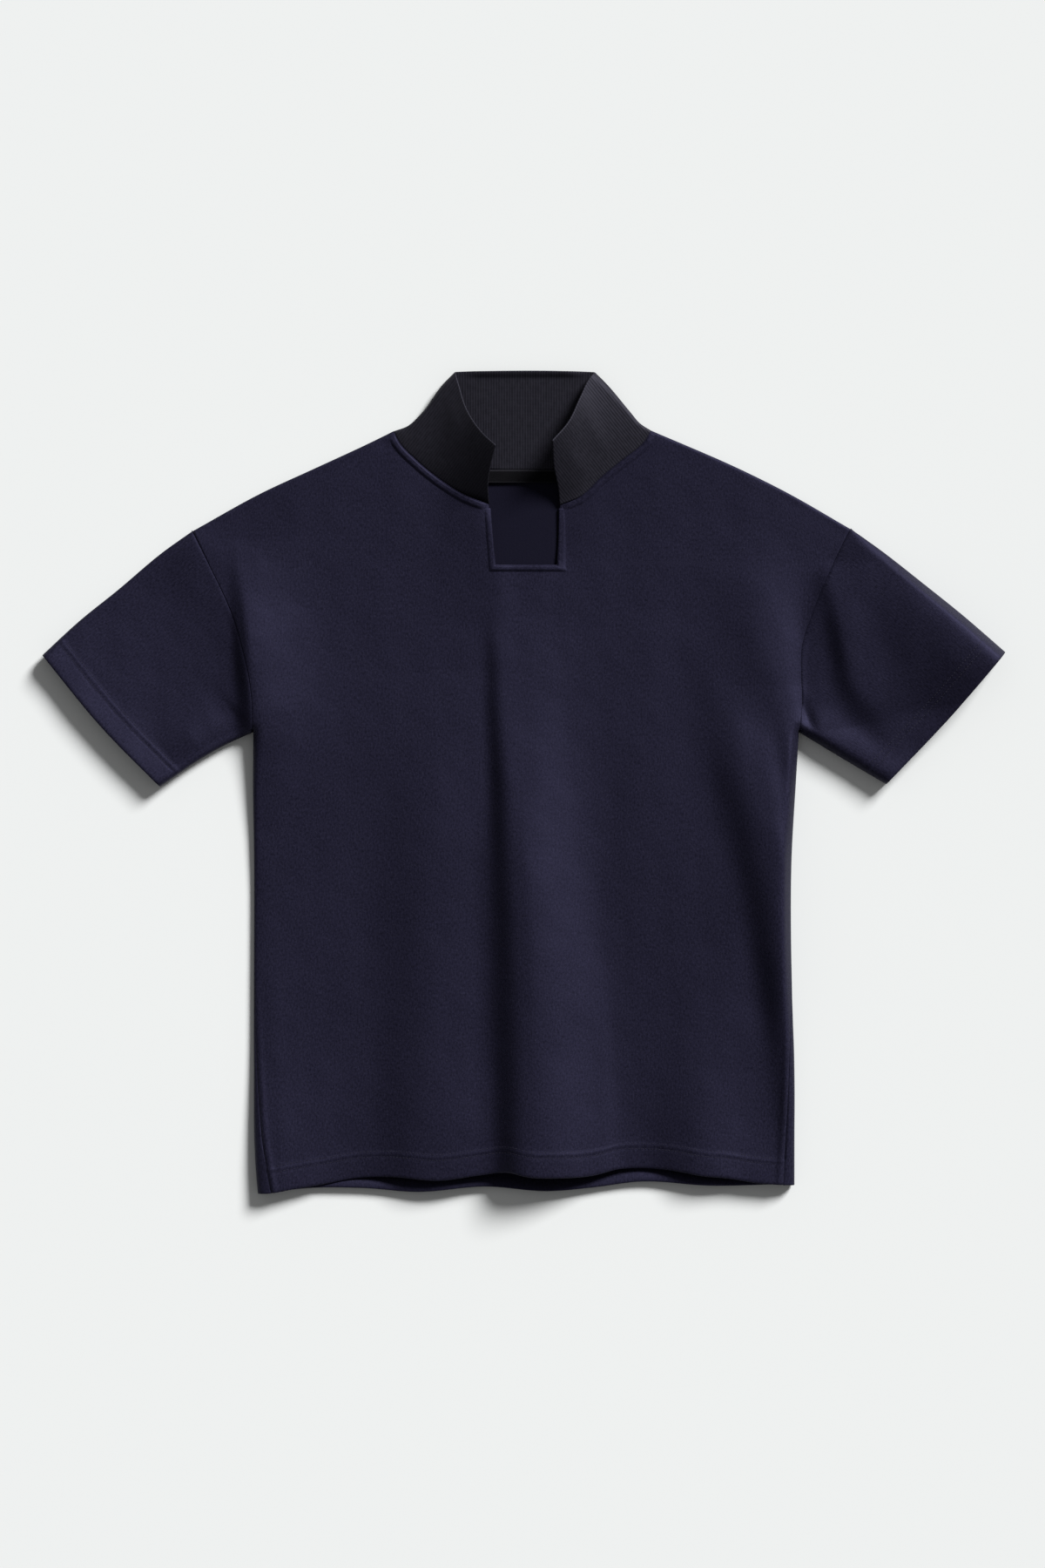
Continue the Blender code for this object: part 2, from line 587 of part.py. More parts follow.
def yoke(low_row, side_curve, inner_curve, top_points):
    """Rows from the notch's level to the shoulder and neckline."""
    across = np.linspace(0.0, 1.0, len(low_row))
    bottom = lambda share: np.stack([np.interp(share, across, low_row[:, 0]),
                                     np.interp(share, across, low_row[:, 1])], -1)
    top = lambda share: np.stack([np.interp(share, across, top_points[:, 0]),
                                  np.interp(share, across, top_points[:, 1])], -1)
    up = yoke_shares(np.linalg.norm(top_points - low_row, axis=1))
    rows = patch(bottom, top, side_curve, inner_curve, across, up)
    rows[0], rows[-1] = low_row, top_points
    return rows


SHOULDER_COLUMNS = (6, 5)         # the rest of each side's columns end on the neckline
NECKLINE_SHARES = (ease(FRONT_COLUMNS[0] + 1 - SHOULDER_COLUMNS[0], 0.3),
                   ease(FRONT_COLUMNS[2] + 1 - SHOULDER_COLUMNS[1], 0.3))
BACK_NECK_SHARES = ease(16, 0.3)
SEAM_SHIFT = SEAM_GAP * 0.6       # each side of the armhole seam moves aside by this


def half_top(side, shift):
    """The top of half the front: along the shoulder, then the neckline to the notch."""
    shoulder = (SHOULDER_LEFT, SHOULDER_RIGHT)[side]
    neckline = (NECKLINE_LEFT, NECKLINE_RIGHT)[side]
    shoulder = [(shoulder[0][0] + shift, shoulder[0][1])] + shoulder[1:]
    return np.concatenate([along(shoulder, ease(SHOULDER_COLUMNS[side], 0.5)),
                           along(neckline, NECKLINE_SHARES[side][1:])])


def half_yoke(low_row, side):
    """Half of the front above the notch's level, from the armhole to the notch."""
    shift = (SEAM_SHIFT, -SEAM_SHIFT)[side]
    upper_y = (SHOULDER_LEFT, SHOULDER_RIGHT)[side][0][1]
    top = half_top(side, shift)
    return yoke(low_row, lambda share: armhole_places(side, upper_y, shift, share),
                lambda share: along([low_row[-1], top[-1]], share), top)


def build_front(collection):
    x, y = settle_rows(FRONT_HEM, front_columns)
    low = np.stack([x, y], -1)
    near, middle, _ = FRONT_COLUMNS
    left = half_yoke(low[-1, :near + 2], 0)
    right = half_yoke(low[-1, near + 1 + middle:][::-1], 1)
    grids = [lay(low, 1), lay(left, 1), lay(right[:, ::-1], 1)]
    return cloth_piece("front", "jersey", grids, WALL, collection)


def back_columns(y):
    """The back's columns in plan: over the left edge, across the underside, over the right."""
    count = WRAP_COLUMNS + 2
    y = np.broadcast_to(y, (len(y), 2 * count + BACK_COLUMNS - 1))
    edges, seams = side_lines(y), np.maximum(read_table(SIDE_SEAM, y), 0.0)
    shares = np.linspace(0.0, 1.0, WRAP_COLUMNS + 1)
    shares = np.concatenate([shares[:1], shares])
    wraps = []
    for part, inward in ((slice(0, count), 1), (slice(-count, None), -1)):
        side = 0 if inward > 0 else 1
        edge, seam = edges[side][:, part], seams[side][:, part]
        radius = edge_radius(edge, y[:, part])
        order = shares if inward > 0 else shares[::-1]
        start, stop = seam - SEAM_GAP / 2, -radius * np.pi / 2
        arc = start + order * (stop - start)
        beside_seam = 1 if inward > 0 else -2
        arc[:, beside_seam] = arc[:, 0 if inward > 0 else -1] - SEAM_COLUMN
        wraps.append((edge + inward * roll(arc, radius), np.where(arc > 0, 1.0, -1.0)))
    (x_left, side_left), (x_right, side_right) = wraps
    across = ease(BACK_COLUMNS, 0.3)[1:-1]
    x_middle = x_left[:, -1:] + across * (x_right[:, :1] - x_left[:, -1:])
    x = np.concatenate([x_left, x_middle, x_right], axis=1)
    side = np.concatenate([side_left, -np.ones_like(x_middle), side_right], axis=1)
    return x, side


def build_back(collection):
    x, y = settle_rows(BACK_HEM, lambda y: back_columns(y)[0])
    side = np.where(y >= UNDERARM_Y, -1.0, back_columns(y)[1])
    low = np.stack([x, y], -1)
    left_shoulder = [(SHOULDER_LEFT[0][0] + SEAM_SHIFT, SHOULDER_LEFT[0][1])] + SHOULDER_LEFT[1:]
    right_shoulder = [(SHOULDER_RIGHT[0][0] - SEAM_SHIFT, SHOULDER_RIGHT[0][1])] + SHOULDER_RIGHT[1:]
    beside_neck = len(low[-1]) - len(BACK_NECK_SHARES)
    left_count = beside_neck // 2
    top = np.concatenate([along(left_shoulder, ease(left_count, 0.4)),
                          along(NECKLINE_BACK, BACK_NECK_SHARES[1:]),
                          along(right_shoulder[::-1], ease(beside_neck - left_count, 0.4)[1:])])
    upper = yoke(low[-1],
                 lambda share: armhole_places(0, SHOULDER_LEFT[0][1], SEAM_SHIFT, share),
                 lambda share: armhole_places(1, SHOULDER_RIGHT[0][1], -SEAM_SHIFT, share), top)
    grids = [lay(low, side), lay(upper, -1)]
    return cloth_piece("back", "jersey", grids, WALL, collection, inside_out=True)


# ---------------------------------------------------------------- sleeves

SLEEVE_ROWS = 10


def armhole_seam(side, shift):
    """The body's own places along the armhole seam, from the shoulder to the underarm."""
    shoulder = (SHOULDER_LEFT, SHOULDER_RIGHT)[side][0]
    start = armhole_places(side, shoulder[1], 0.0, [0.0])
    length = np.linalg.norm(np.array(shoulder) - start, axis=1)
    above = armhole_places(side, shoulder[1], shift, yoke_shares(length)[1:, 0])
    heights = np.linspace(UNDERARM_Y, NOTCH_Y, CHEST_ROWS + 1)
    below = np.stack([read_table(ARMHOLE, heights)[side] + shift, heights], -1)
    return np.concatenate([below, above])[::-1]


def build_sleeve(name, outline, side, collection):
    """A flattened tube: its rings run along the upper layer, round the edge and back below."""
    shift = (-SEAM_SHIFT, SEAM_SHIFT)[side]
    armhole = armhole_seam(side, shift)
    upper = [armhole[0]] + outline["upper"][1:]
    lower = [armhole[-1]] + outline["lower"][1:]
    along_sleeve = np.linspace(0.0, 1.0, SLEEVE_ROWS + 1)
    start, stop = along(upper, along_sleeve), along(lower, along_sleeve)
    width = np.linalg.norm(stop - start, axis=1)[:, None]
    middle = (start + stop) / 2
    radius = edge_radius(middle[:, 0], middle[:, 1])[:, None]
    half = unroll(width / 2, radius)
    arc = ease(len(armhole) - 1, 0.8) * 2 * half
    from_edge = roll(np.minimum(arc, 2 * half - arc), radius) / width
    share = np.where(arc > half, 1 - from_edge, from_edge)
    curve = lambda points: (lambda at: along(points, at))
    plan = patch(curve(armhole), curve(outline["cuff"]), curve(upper), curve(lower),
                 share, np.broadcast_to(along_sleeve[:, None], share.shape))
    away = plan[1] - armhole
    beside_seam = armhole + SEAM_COLUMN * away / np.linalg.norm(away, axis=1, keepdims=True)
    plan = np.concatenate([armhole[None], beside_seam[None], plan[1:]])
    above = np.ones(len(armhole))
    above[[0, -1]] = 0.0
    ring = np.concatenate([lay(plan, above), lay(plan, -above)[:, -2:0:-1]], axis=1)
    return cloth_piece(name, "jersey", [ring], WALL, collection, closed=True, inside_out=side == 0)


# ---------------------------------------------------------------- collar

COLLAR_ROWS = 7


def collar_roll(from_edge, radius):
    """How far the collar has turned out of its folded edge, 0 at the edge and 1 past it."""
    turn = np.clip(1 - from_edge / radius, 0.0, 1.0)
    return (1 - turn**EDGE_POWER)**(1 / EDGE_POWER)


def collar_rows():
    """Shares of the collar's depth from its seam, and the height of its folds there."""
    up = np.linspace(0.0, 1.0, COLLAR_ROWS + 1)[:, None]
    up[0] = COLLAR_SEAM_GAP / COLLAR_DEPTH
    return up, LOFT + (COLLAR_FOLD_HEIGHT - LOFT) * up


def collar_flap(end, fold, neckline, neck_shares, free_edge):
    """Half of the collar's upper layer, from its front end to the side fold."""
    up, tall = collar_rows()
    radius = EDGE_ROUND * tall
    width = np.linalg.norm(along(end, up[:, 0]) - along(fold, up[:, 0]), axis=1)[:, None]
    count = len(neck_shares) - 1
    arc = 2 * ease(2 * count, 0.8)[count::-1] * unroll(width, radius)
    across = 1 - roll(arc, radius) / width
    across[0] = 1 - neck_shares[::-1]
    curve = lambda points: (lambda at: along(points, at))
    plan = patch(curve(neckline[::-1]), curve(free_edge), curve(end), curve(fold), across,
                 np.broadcast_to(up, across.shape))
    rise = COLLAR_TIP_HEIGHT - COLLAR_FOLD_HEIGHT
    free = COLLAR_FOLD_HEIGHT + rise * (1 - across)**COLLAR_SPAN_POWER
    top = LOFT + (free - LOFT) * up**COLLAR_RISE_POWER
    height = tall / 2 + (top - tall / 2) * collar_roll((1 - across) * width, radius)
    return np.concatenate([plan, height[..., None]], axis=-1)


def collar_back():
    """The collar's back, flat on the surface between its two side folds."""
    up, tall = collar_rows()
    radius = EDGE_ROUND * tall
    left, right = along(COLLAR_FOLD_LEFT, up[:, 0]), along(COLLAR_FOLD_RIGHT, up[:, 0])
    width = np.linalg.norm(right - left, axis=1)[:, None]
    half = unroll(width / 2, radius)
    arc = ease(len(BACK_NECK_SHARES) - 1, 0.8) * 2 * half
    from_edge = roll(np.minimum(arc, 2 * half - arc), radius) / width
    across = np.where(arc > half, 1 - from_edge, from_edge)
    across[0] = BACK_NECK_SHARES
    curve = lambda points: (lambda at: along(points, at))
    plan = patch(curve(NECKLINE_BACK), curve(COLLAR_BACK_EDGE), curve(COLLAR_FOLD_LEFT),
                 curve(COLLAR_FOLD_RIGHT), across, np.broadcast_to(up, across.shape))
    from_edge = np.minimum(across, 1 - across) * width
    height = tall / 2 * (1 - collar_roll(from_edge, radius))
    return np.concatenate([plan, height[..., None]], axis=-1)


def build_collar(collection):
    left = collar_flap(COLLAR_END_LEFT, COLLAR_FOLD_LEFT, NECKLINE_LEFT, NECKLINE_SHARES[0],
                       FLAP_EDGE_LEFT)
    right = collar_flap(COLLAR_END_RIGHT, COLLAR_FOLD_RIGHT, NECKLINE_RIGHT, NECKLINE_SHARES[1],
                        FLAP_EDGE_RIGHT)
    whole = np.concatenate([left[:, :-1], collar_back(), right[:, -2::-1]], axis=1)
    return cloth_piece("collar", "rib", [whole], RIB_WALL, collection, inside_out=True)


# ---------------------------------------------------------------- trims on the panels

BINDING_STEPS = 18
BAND_STEPS = 6
LABEL_STEPS = (8, 2)

def raise_off(plan, lift):
    """Places on the upper layer, moved out along its own slope."""
    x, y = plan[..., 0], plan[..., 1]
    step = 0.5
    height = cloth_height(x, y, 1)
    slope_x = (cloth_height(x + step, y, 1) - cloth_height(x - step, y, 1)) / (2 * step)
    slope_y = (cloth_height(x, y + step, 1) - cloth_height(x, y - step, 1)) / (2 * step)
    normal = np.stack([-slope_x, -slope_y, np.ones_like(x)], -1)
    normal /= np.linalg.norm(normal, axis=-1, keepdims=True)
    return np.stack([x, y, height], -1) + normal * lift


def ribbon(inner, outer, columns):
    """A strip in plan between two lists of places."""
    share = np.linspace(0.0, 1.0, columns + 1)[:, None, None]
    return (1 - share) * inner + share * outer


def build_binding(name, neckline, away, collection):
    """The raised seam edge that runs beside the collar on the front."""
    path = along(neckline, np.linspace(*BINDING_REACH, BINDING_STEPS + 1))
    tangent = np.gradient(path, axis=0)
    tangent /= np.linalg.norm(tangent, axis=1, keepdims=True)
    normal = away * np.stack([tangent[:, 1], -tangent[:, 0]], -1)
    inner = path + normal * BINDING_INSET
    outer = path + normal * (BINDING_INSET + BINDING_WIDTH)
    surface = raise_off(ribbon(inner, outer, 3), LAID_CLEARANCE)
    return cloth_piece(name, "jersey", [surface], TRIM_WALL, collection, inside_out=away > 0,
                       outward=True)


def build_notch_band(collection):
    """The narrow band that borders the notch on three sides."""
    shares = np.linspace(0.0, 1.0, BAND_STEPS + 1)
    runs = []
    for out, top_out in ((SEAM_GAP, 0.0), (BAND_WIDTH, BAND_WIDTH)):
        corners = np.array([(BAND_TOP_LEFT_X - top_out, BAND_TOP_Y),
                            (NOTCH_LEFT_X - out, NOTCH_Y - out),
                            (NOTCH_RIGHT_X + out, NOTCH_Y - out),
                            (BAND_TOP_RIGHT_X + top_out, BAND_TOP_Y)])
        sides = [start + share * (end - start)
                 for start, end in zip(corners[:-1], corners[1:]) for share in shares[:-1]]
        runs.append(np.array(sides + [corners[-1]]))
    surface = raise_off(ribbon(runs[0], runs[1], 2), LAID_CLEARANCE)
    return cloth_piece("notch_band", "jersey", [surface], TRIM_WALL, collection, outward=True,
                       inside_out=True)


def build_label(collection):
    """A plain tape that lies on the inside of the back, just below the collar."""
    top_y = NECKLINE_BACK[3][1] - SEAM_GAP
    x, y = np.meshgrid(np.linspace(-LABEL_WIDTH / 2, LABEL_WIDTH / 2, LABEL_STEPS[0] + 1),
                       np.linspace(top_y - LABEL_DEPTH, top_y, LABEL_STEPS[1] + 1))
    surface = np.stack([x, y, np.full_like(x, WALL + LAID_CLEARANCE)], -1)
    return cloth_piece("neck_label", "tape", [surface], TRIM_WALL, collection, outward=True)


def build_shirt():
    collection = bpy.data.collections.new("polo_shirt")
    bpy.context.scene.collection.children.link(collection)
    build_front(collection)
    build_back(collection)
    build_sleeve("sleeve_left", SLEEVE_LEFT, 0, collection)
    build_sleeve("sleeve_right", SLEEVE_RIGHT, 1, collection)
    build_collar(collection)
    build_binding("neck_binding_left", NECKLINE_LEFT, 1, collection)
    build_binding("neck_binding_right", NECKLINE_RIGHT, -1, collection)
    build_notch_band(collection)
    build_label(collection)


for leftover in list(bpy.data.objects):
    bpy.data.objects.remove(leftover, do_unlink=True)
build_shirt()
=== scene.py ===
import math

import bpy
import numpy as np
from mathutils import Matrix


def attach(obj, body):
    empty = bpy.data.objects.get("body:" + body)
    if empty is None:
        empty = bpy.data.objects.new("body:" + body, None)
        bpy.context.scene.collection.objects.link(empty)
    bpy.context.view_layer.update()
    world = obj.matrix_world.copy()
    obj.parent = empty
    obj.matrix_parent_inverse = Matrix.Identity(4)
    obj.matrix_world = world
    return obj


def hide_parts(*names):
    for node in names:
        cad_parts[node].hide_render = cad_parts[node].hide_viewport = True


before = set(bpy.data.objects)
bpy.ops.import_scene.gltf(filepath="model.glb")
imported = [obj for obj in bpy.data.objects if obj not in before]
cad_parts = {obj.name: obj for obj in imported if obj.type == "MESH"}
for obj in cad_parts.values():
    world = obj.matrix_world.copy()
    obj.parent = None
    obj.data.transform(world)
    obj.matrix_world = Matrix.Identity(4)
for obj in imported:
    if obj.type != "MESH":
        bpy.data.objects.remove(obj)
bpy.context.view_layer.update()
mm = 0.001


# curves

# Cubic through the values at the knots; each slope comes from the neighbouring knots.
def throughKnots(knots, values, at):
    slopes = np.gradient(values, knots, axis=0)
    at = np.clip(at, knots[0], knots[-1])
    cell = np.clip(np.searchsorted(knots, at, side="right") - 1, 0, len(knots) - 2)
    span = (knots[cell + 1] - knots[cell])[..., None]
    t = (at - knots[cell])[..., None] / span
    ends = values[cell] * (2 * t**3 - 3 * t**2 + 1) + values[cell + 1] * (3 * t**2 - 2 * t**3)
    return ends + (slopes[cell] * (t**3 - 2 * t**2 + t) + slopes[cell + 1] * (t**3 - t**2)) * span


# The table's other columns, at places in its first column.
def columnsAt(rows, at):
    rows = np.asarray(rows, float)
    return np.moveaxis(throughKnots(rows[:, 0], rows[:, 1:], np.asarray(at, float)), -1, 0)


# The sum of the steps from the first point to each point.
def runLength(points):
    return np.concatenate([[0.0], np.cumsum(np.linalg.norm(np.diff(points, axis=0), axis=1))])


# A smooth curve through points, at shares of its length in plan.
def along(points, shares):
    points = np.asarray(points, float)
    knots = runLength(points[:, :2])
    return throughKnots(knots, points, np.asarray(shares, float) * knots[-1])


def curve(points):
    return lambda shares: along(points, shares)


# Each vector over its own length.
def unit(vectors):
    return vectors / np.maximum(np.linalg.norm(vectors, axis=-1, keepdims=True), 1e-12)


# For every place: its distance to the path, whether it is on the path's right, and the path's columns there.
def nearestOn(x, y, path):
    start, run = path[:-1], np.diff(path, axis=0)
    best = np.full(x.shape, np.inf)
    right = np.zeros(x.shape, bool)
    columns = np.zeros(x.shape + (path.shape[1],))
    for a, d in zip(start, run):    # one stretch of the path at a time, for all places at once
        dx, dy = x - a[0], y - a[1]
        t = np.clip((dx * d[0] + dy * d[1]) / (d[0]**2 + d[1]**2), 0, 1)
        gapX, gapY = dx - t * d[0], dy - t * d[1]
        gap = np.hypot(gapX, gapY)
        near = gap < best
        best = np.where(near, gap, best)
        right = np.where(near, d[0] * gapY - d[1] * gapX > 0, right)
        columns = np.where(near[..., None], a + t[..., None] * d, columns)
    return best, right, columns


# t * t * (3 - 2 t), held at 0 below 0 and at 1 above 1.
def smoothStep(t):
    t = np.clip(t, 0, 1)
    return t * t * (3 - 2 * t)


# exp(-(distance / reach) ** 2)
def bell(distance, reach):
    return np.exp(-(distance / reach)**2)


# Shares from 0 to 1 that crowd together at both ends: t - pull * sin(2 pi t) / (2 pi).
def crowded(count, pull):
    t = np.linspace(0, 1, count + 1)
    return t - pull * np.sin(2 * np.pi * t) / (2 * np.pi)


# the laid cloth, in millimetres: X to the viewer's right, Y to the collar, Z up

baseY, underarmY, notchY = -345.0, 43.0, 187.0    # the hem, the underarms and the notch's foot
cloth = {
    "loft": 4.8, "hemLoft": 3.7, "hemReach": 140.0, "cuffLoft": 10.5, "cuffReach": 120.0, "cuffPower": 1.4,
    "edgeRound": 0.6, "edgePower": 2.5, "seamGap": 0.3, "neckPointGap": 2.3, "neckPointReach": 12.0,
    "liftReach": 52.0, "liftFloor": 0.4,
    "neckLeft": (-112.0, 302.0), "neckRight": (110.0, 302.5),
    "unevenness": 0.16, "detailFade": 8.0,
}

# side edges in plan:  y, left, right
sideEdge = [(-354, -228.6, 233.2), (-330, -230.6, 233.1), (-240, -232.1, 232.9), (-180, -232.1, 230.9),
            (-60, -232, 230.7), (0, -232.8, 234.2), (43, -232.4, 236.8)]
# how far the back wraps over each side before the seam:  y, left, right
sideSeam = [(-354, 15, 14), (-300, 9.5, 12), (-240, 4.5, 9.5), (-180, 1.8, 5),
            (-60, 0.5, 1.5), (20, 0, 0), (43, 0, 0)]
# armhole seams in plan:  y, left, right
armhole = [(43, -232.4, 236.8), (70, -233, 239.5), (94, -236.1, 238.6), (118, -242, 239.6),
           (142, -249.2, 247.1), (166, -259.7, 256.2), (190, -271.6, 267.2), (216.2, -284.8, 280.4),
           (218, -285.7, 281.4)]
shoulderLeft = [(-284.8, 216.2), (-225, 249.2), (-180, 270), (-135, 290.8), cloth["neckLeft"]]
shoulderRight = [(281.4, 218), (225.4, 250), (180.4, 272.2), (135.4, 291.8), cloth["neckRight"]]
sleeveLeft = {
    "upper": [(-284.8, 216.2), (-308.6, 199.5), (-350.6, 164.3), (-382.1, 138.8), (-413.6, 109.5)],
    "lower": [(-232.4, 43), (-256.1, 32.3), (-277.1, 20.3), (-312.4, -3.8)],
    "cuff": [(-413.6, 109.5), (-361.1, 45.8), (-312.4, -3.8)],
}
sleeveRight = {
    "upper": [(281.4, 218), (303.4, 202.5), (345.4, 169.5), (376.9, 144), (413.6, 112)],
    "lower": [(236.8, 43), (250.9, 34.5), (271.9, 21.8), (311.6, -1.6)],
    "cuff": [(413.6, 112), (366.4, 56.3), (311.6, -1.6)],
}
necklineLeft = [cloth["neckLeft"], (-107, 292.5), (-91.9, 276.8), (-74.6, 262.5), (-52, 247.8), (-30, 238.8)]
necklineRight = [cloth["neckRight"], (103.5, 292.5), (85.4, 277.6), (67.1, 262.7), (50, 246.6), (31.5, 238.8)]
necklineBack = [cloth["neckLeft"], (-85, 282), (-45, 271.3), (0, 269), (45, 271.3), (85, 282),
                cloth["neckRight"]]
# hems in plan, from left to right:  x, y
frontHem = [(-229, -353.4), (-218, -353), (-198, -349.6), (-170, -345), (-144, -340.4),
            (-115, -339), (-71, -341.9), (-38, -337.5), (-11, -335), (2, -338), (30, -339.3),
            (62, -337.2), (81, -332.6), (103, -331.7), (130, -333.8), (153, -337.9), (175, -340),
            (200, -344), (222, -345.8), (234, -346)]
backHem = [(-229, -353.4), (-218, -353), (-198, -349.8), (-140, -348.5), (-93, -351.8),
           (-33, -347.3), (22, -351), (62, -347.8), (98, -343.2), (161, -346.4), (222, -345.8),
           (234, -346)]

# Folds: the power of each side (2 is a soft bell, more is a sharper step), then rows from the collar's end to
# the hem's:  x, y, height, spread to the left, spread to the right.
folds = [
    ((3.4, 2.6), [    # the middle fold
        (-21, 162, 0, 12, 45), (-18, 140, 1, 12.5, 46), (-17, 118, 3.2, 13, 48), (-15, 98, 5, 13.5, 50),
        (-13, 58, 7.5, 15, 50), (-8, 14, 10.5, 17.5, 48), (-3, -32, 13.5, 21, 46), (2, -76, 16.5, 25, 43),
        (7, -122, 18, 28, 43), (10, -170, 19.5, 30, 44), (12, -256, 20, 30, 47), (12, -302, 19.5, 29, 48),
        (11, -362, 17, 26, 52)]),
    ((2.4, 2.0), [    # the swell left of it
        (-64, 95, 0, 54, 60), (-64, 50, 2.5, 52, 60), (-63, -32, 7, 54, 60), (-62, -122, 9, 54, 62),
        (-62, -212, 11, 56, 64), (-63, -302, 11, 56, 64), (-72, -362, 8, 50, 70)]),
    ((3.0, 1.35), [    # the left side's ridge
        (-244, 208, 0, 10, 36), (-242, 190, 1, 10, 36), (-240, 172, 3, 10, 36), (-239.5, 152, 5, 10, 36),
        (-236.5, 134, 7.5, 10.5, 36), (-233, 104, 9, 12, 36), (-229, 74, 9, 13.5, 38),
        (-225.5, 52, 9, 16, 38), (-225, 30, 5.5, 14, 44), (-223, 0, 2.6, 16, 46), (-220, -60, 1.4, 18, 42),
        (-214, -200, 2, 20, 36), (-208, -362, 6, 24, 38)]),
    ((2.0, 2.0), [    # the slope that leads up to it from the sleeve
        (-236, 206, 0, 32, 40), (-232, 170, 2.2, 32, 40), (-230, 134, 4.5, 33, 38), (-226, 80, 5.5, 35, 38),
        (-224, 20, 3, 32, 38), (-220, -40, 0, 30, 38)]),
    ((2.0, 3.0), [    # the right side's ridge, above the underarm
        (190, 220, 0, 30, 34), (196, 196, 1.2, 30, 34), (199, 174, 3.6, 32, 34), (204, 149, 6, 34, 29),
        (212, 119, 6.2, 30, 23), (216, 100, 6, 26, 20), (222, 74, 4.4, 20, 16), (226, 52, 2.8, 14, 14),
        (229, 30, 1.8, 11, 12), (233, 0, 0, 8, 10)]),
    ((3.2, 2.0), [    # the right side's ridge, below the underarm
        (160, 140, 0, 26, 60), (173, 104, 3, 28, 60), (190, 58, 5.5, 34, 60), (201, 14, 9.5, 34, 64),
        (214, -32, 12.5, 32, 50), (221, -76, 13, 29, 45), (226, -122, 13, 26, 35),
        (230, -170, 12.5, 23, 30), (233, -212, 10, 21, 30), (236, -256, 8, 20, 30), (238, -302, 4, 18, 30),
        (239, -345, 0, 15, 30)]),
    ((4.0, 2.0), [    # the broad swell under it
        (165, 150, 0, 110, 60), (170, 60, 3, 115, 60), (175, -30, 6, 120, 55), (175, -120, 7, 120, 50),
        (170, -220, 6, 115, 55), (165, -300, 3.5, 110, 60), (165, -362, 2.5, 110, 60)]),
    ((2.0, 2.0), [    # low on the right
        (148, -140, 0, 24, 28), (151, -210, 2.2, 26, 30), (153, -290, 5, 28, 33),
        (154, -362, 7.2, 30, 36)]),
    ((2.0, 2.0), [    # the hem's right corner
        (214, -250, 0, 20, 24), (216, -362, 3.4, 24, 24)]),
    ((3.0, 2.0), [    # the right sleeve's cap, beside the seam
        (268, 190, 0, 18, 60), (267, 160, 3, 20, 60), (268, 119, 4.6, 24, 60), (270, 89, 4.6, 26, 60),
        (270, 64, 3, 24, 60), (272, 46, 0, 20, 60)]),
    ((2.4, 2.0), [    # the right sleeve's step
        (261, 190, 0, 9, 28), (268, 164, 3.4, 11, 28), (275, 134, 7, 12, 29), (281.5, 104, 7.5, 13, 30),
        (286, 88, 7, 15, 30), (296, 73, 6.5, 17, 29), (309, 58, 4.6, 17, 28), (320, 44, 2.2, 16, 26),
        (330, 28, 0, 16, 24)]),
    ((2.0, 2.0), [    # along the right sleeve's upper edge
        (276, 214, 0, 34, 40), (298, 198, 5, 38, 40), (318, 181, 9, 42, 40), (342, 160, 12.5, 45, 40),
        (366, 139, 14.5, 48, 40), (392, 116, 15, 50, 40), (406, 102, 14, 50, 40)]),
    ((2.0, 2.0), [    # along the right sleeve's lower edge
        (248, 62, 0, 10, 16), (258, 46, 3, 11, 18), (271, 36, 3.6, 11, 20), (287, 26, 3.4, 11, 20),
        (301, 17, 3, 11, 18), (312, 10, 2, 11, 14)]),
    ((2.0, 2.0), [    # along the left sleeve's lower edge
        (-250, 60, 0, 20, 12), (-262, 51, 3.5, 22, 13), (-275, 43, 4, 22, 14), (-290, 33, 2.6, 22, 14),
        (-306, 22, 0, 20, 14)]),
]

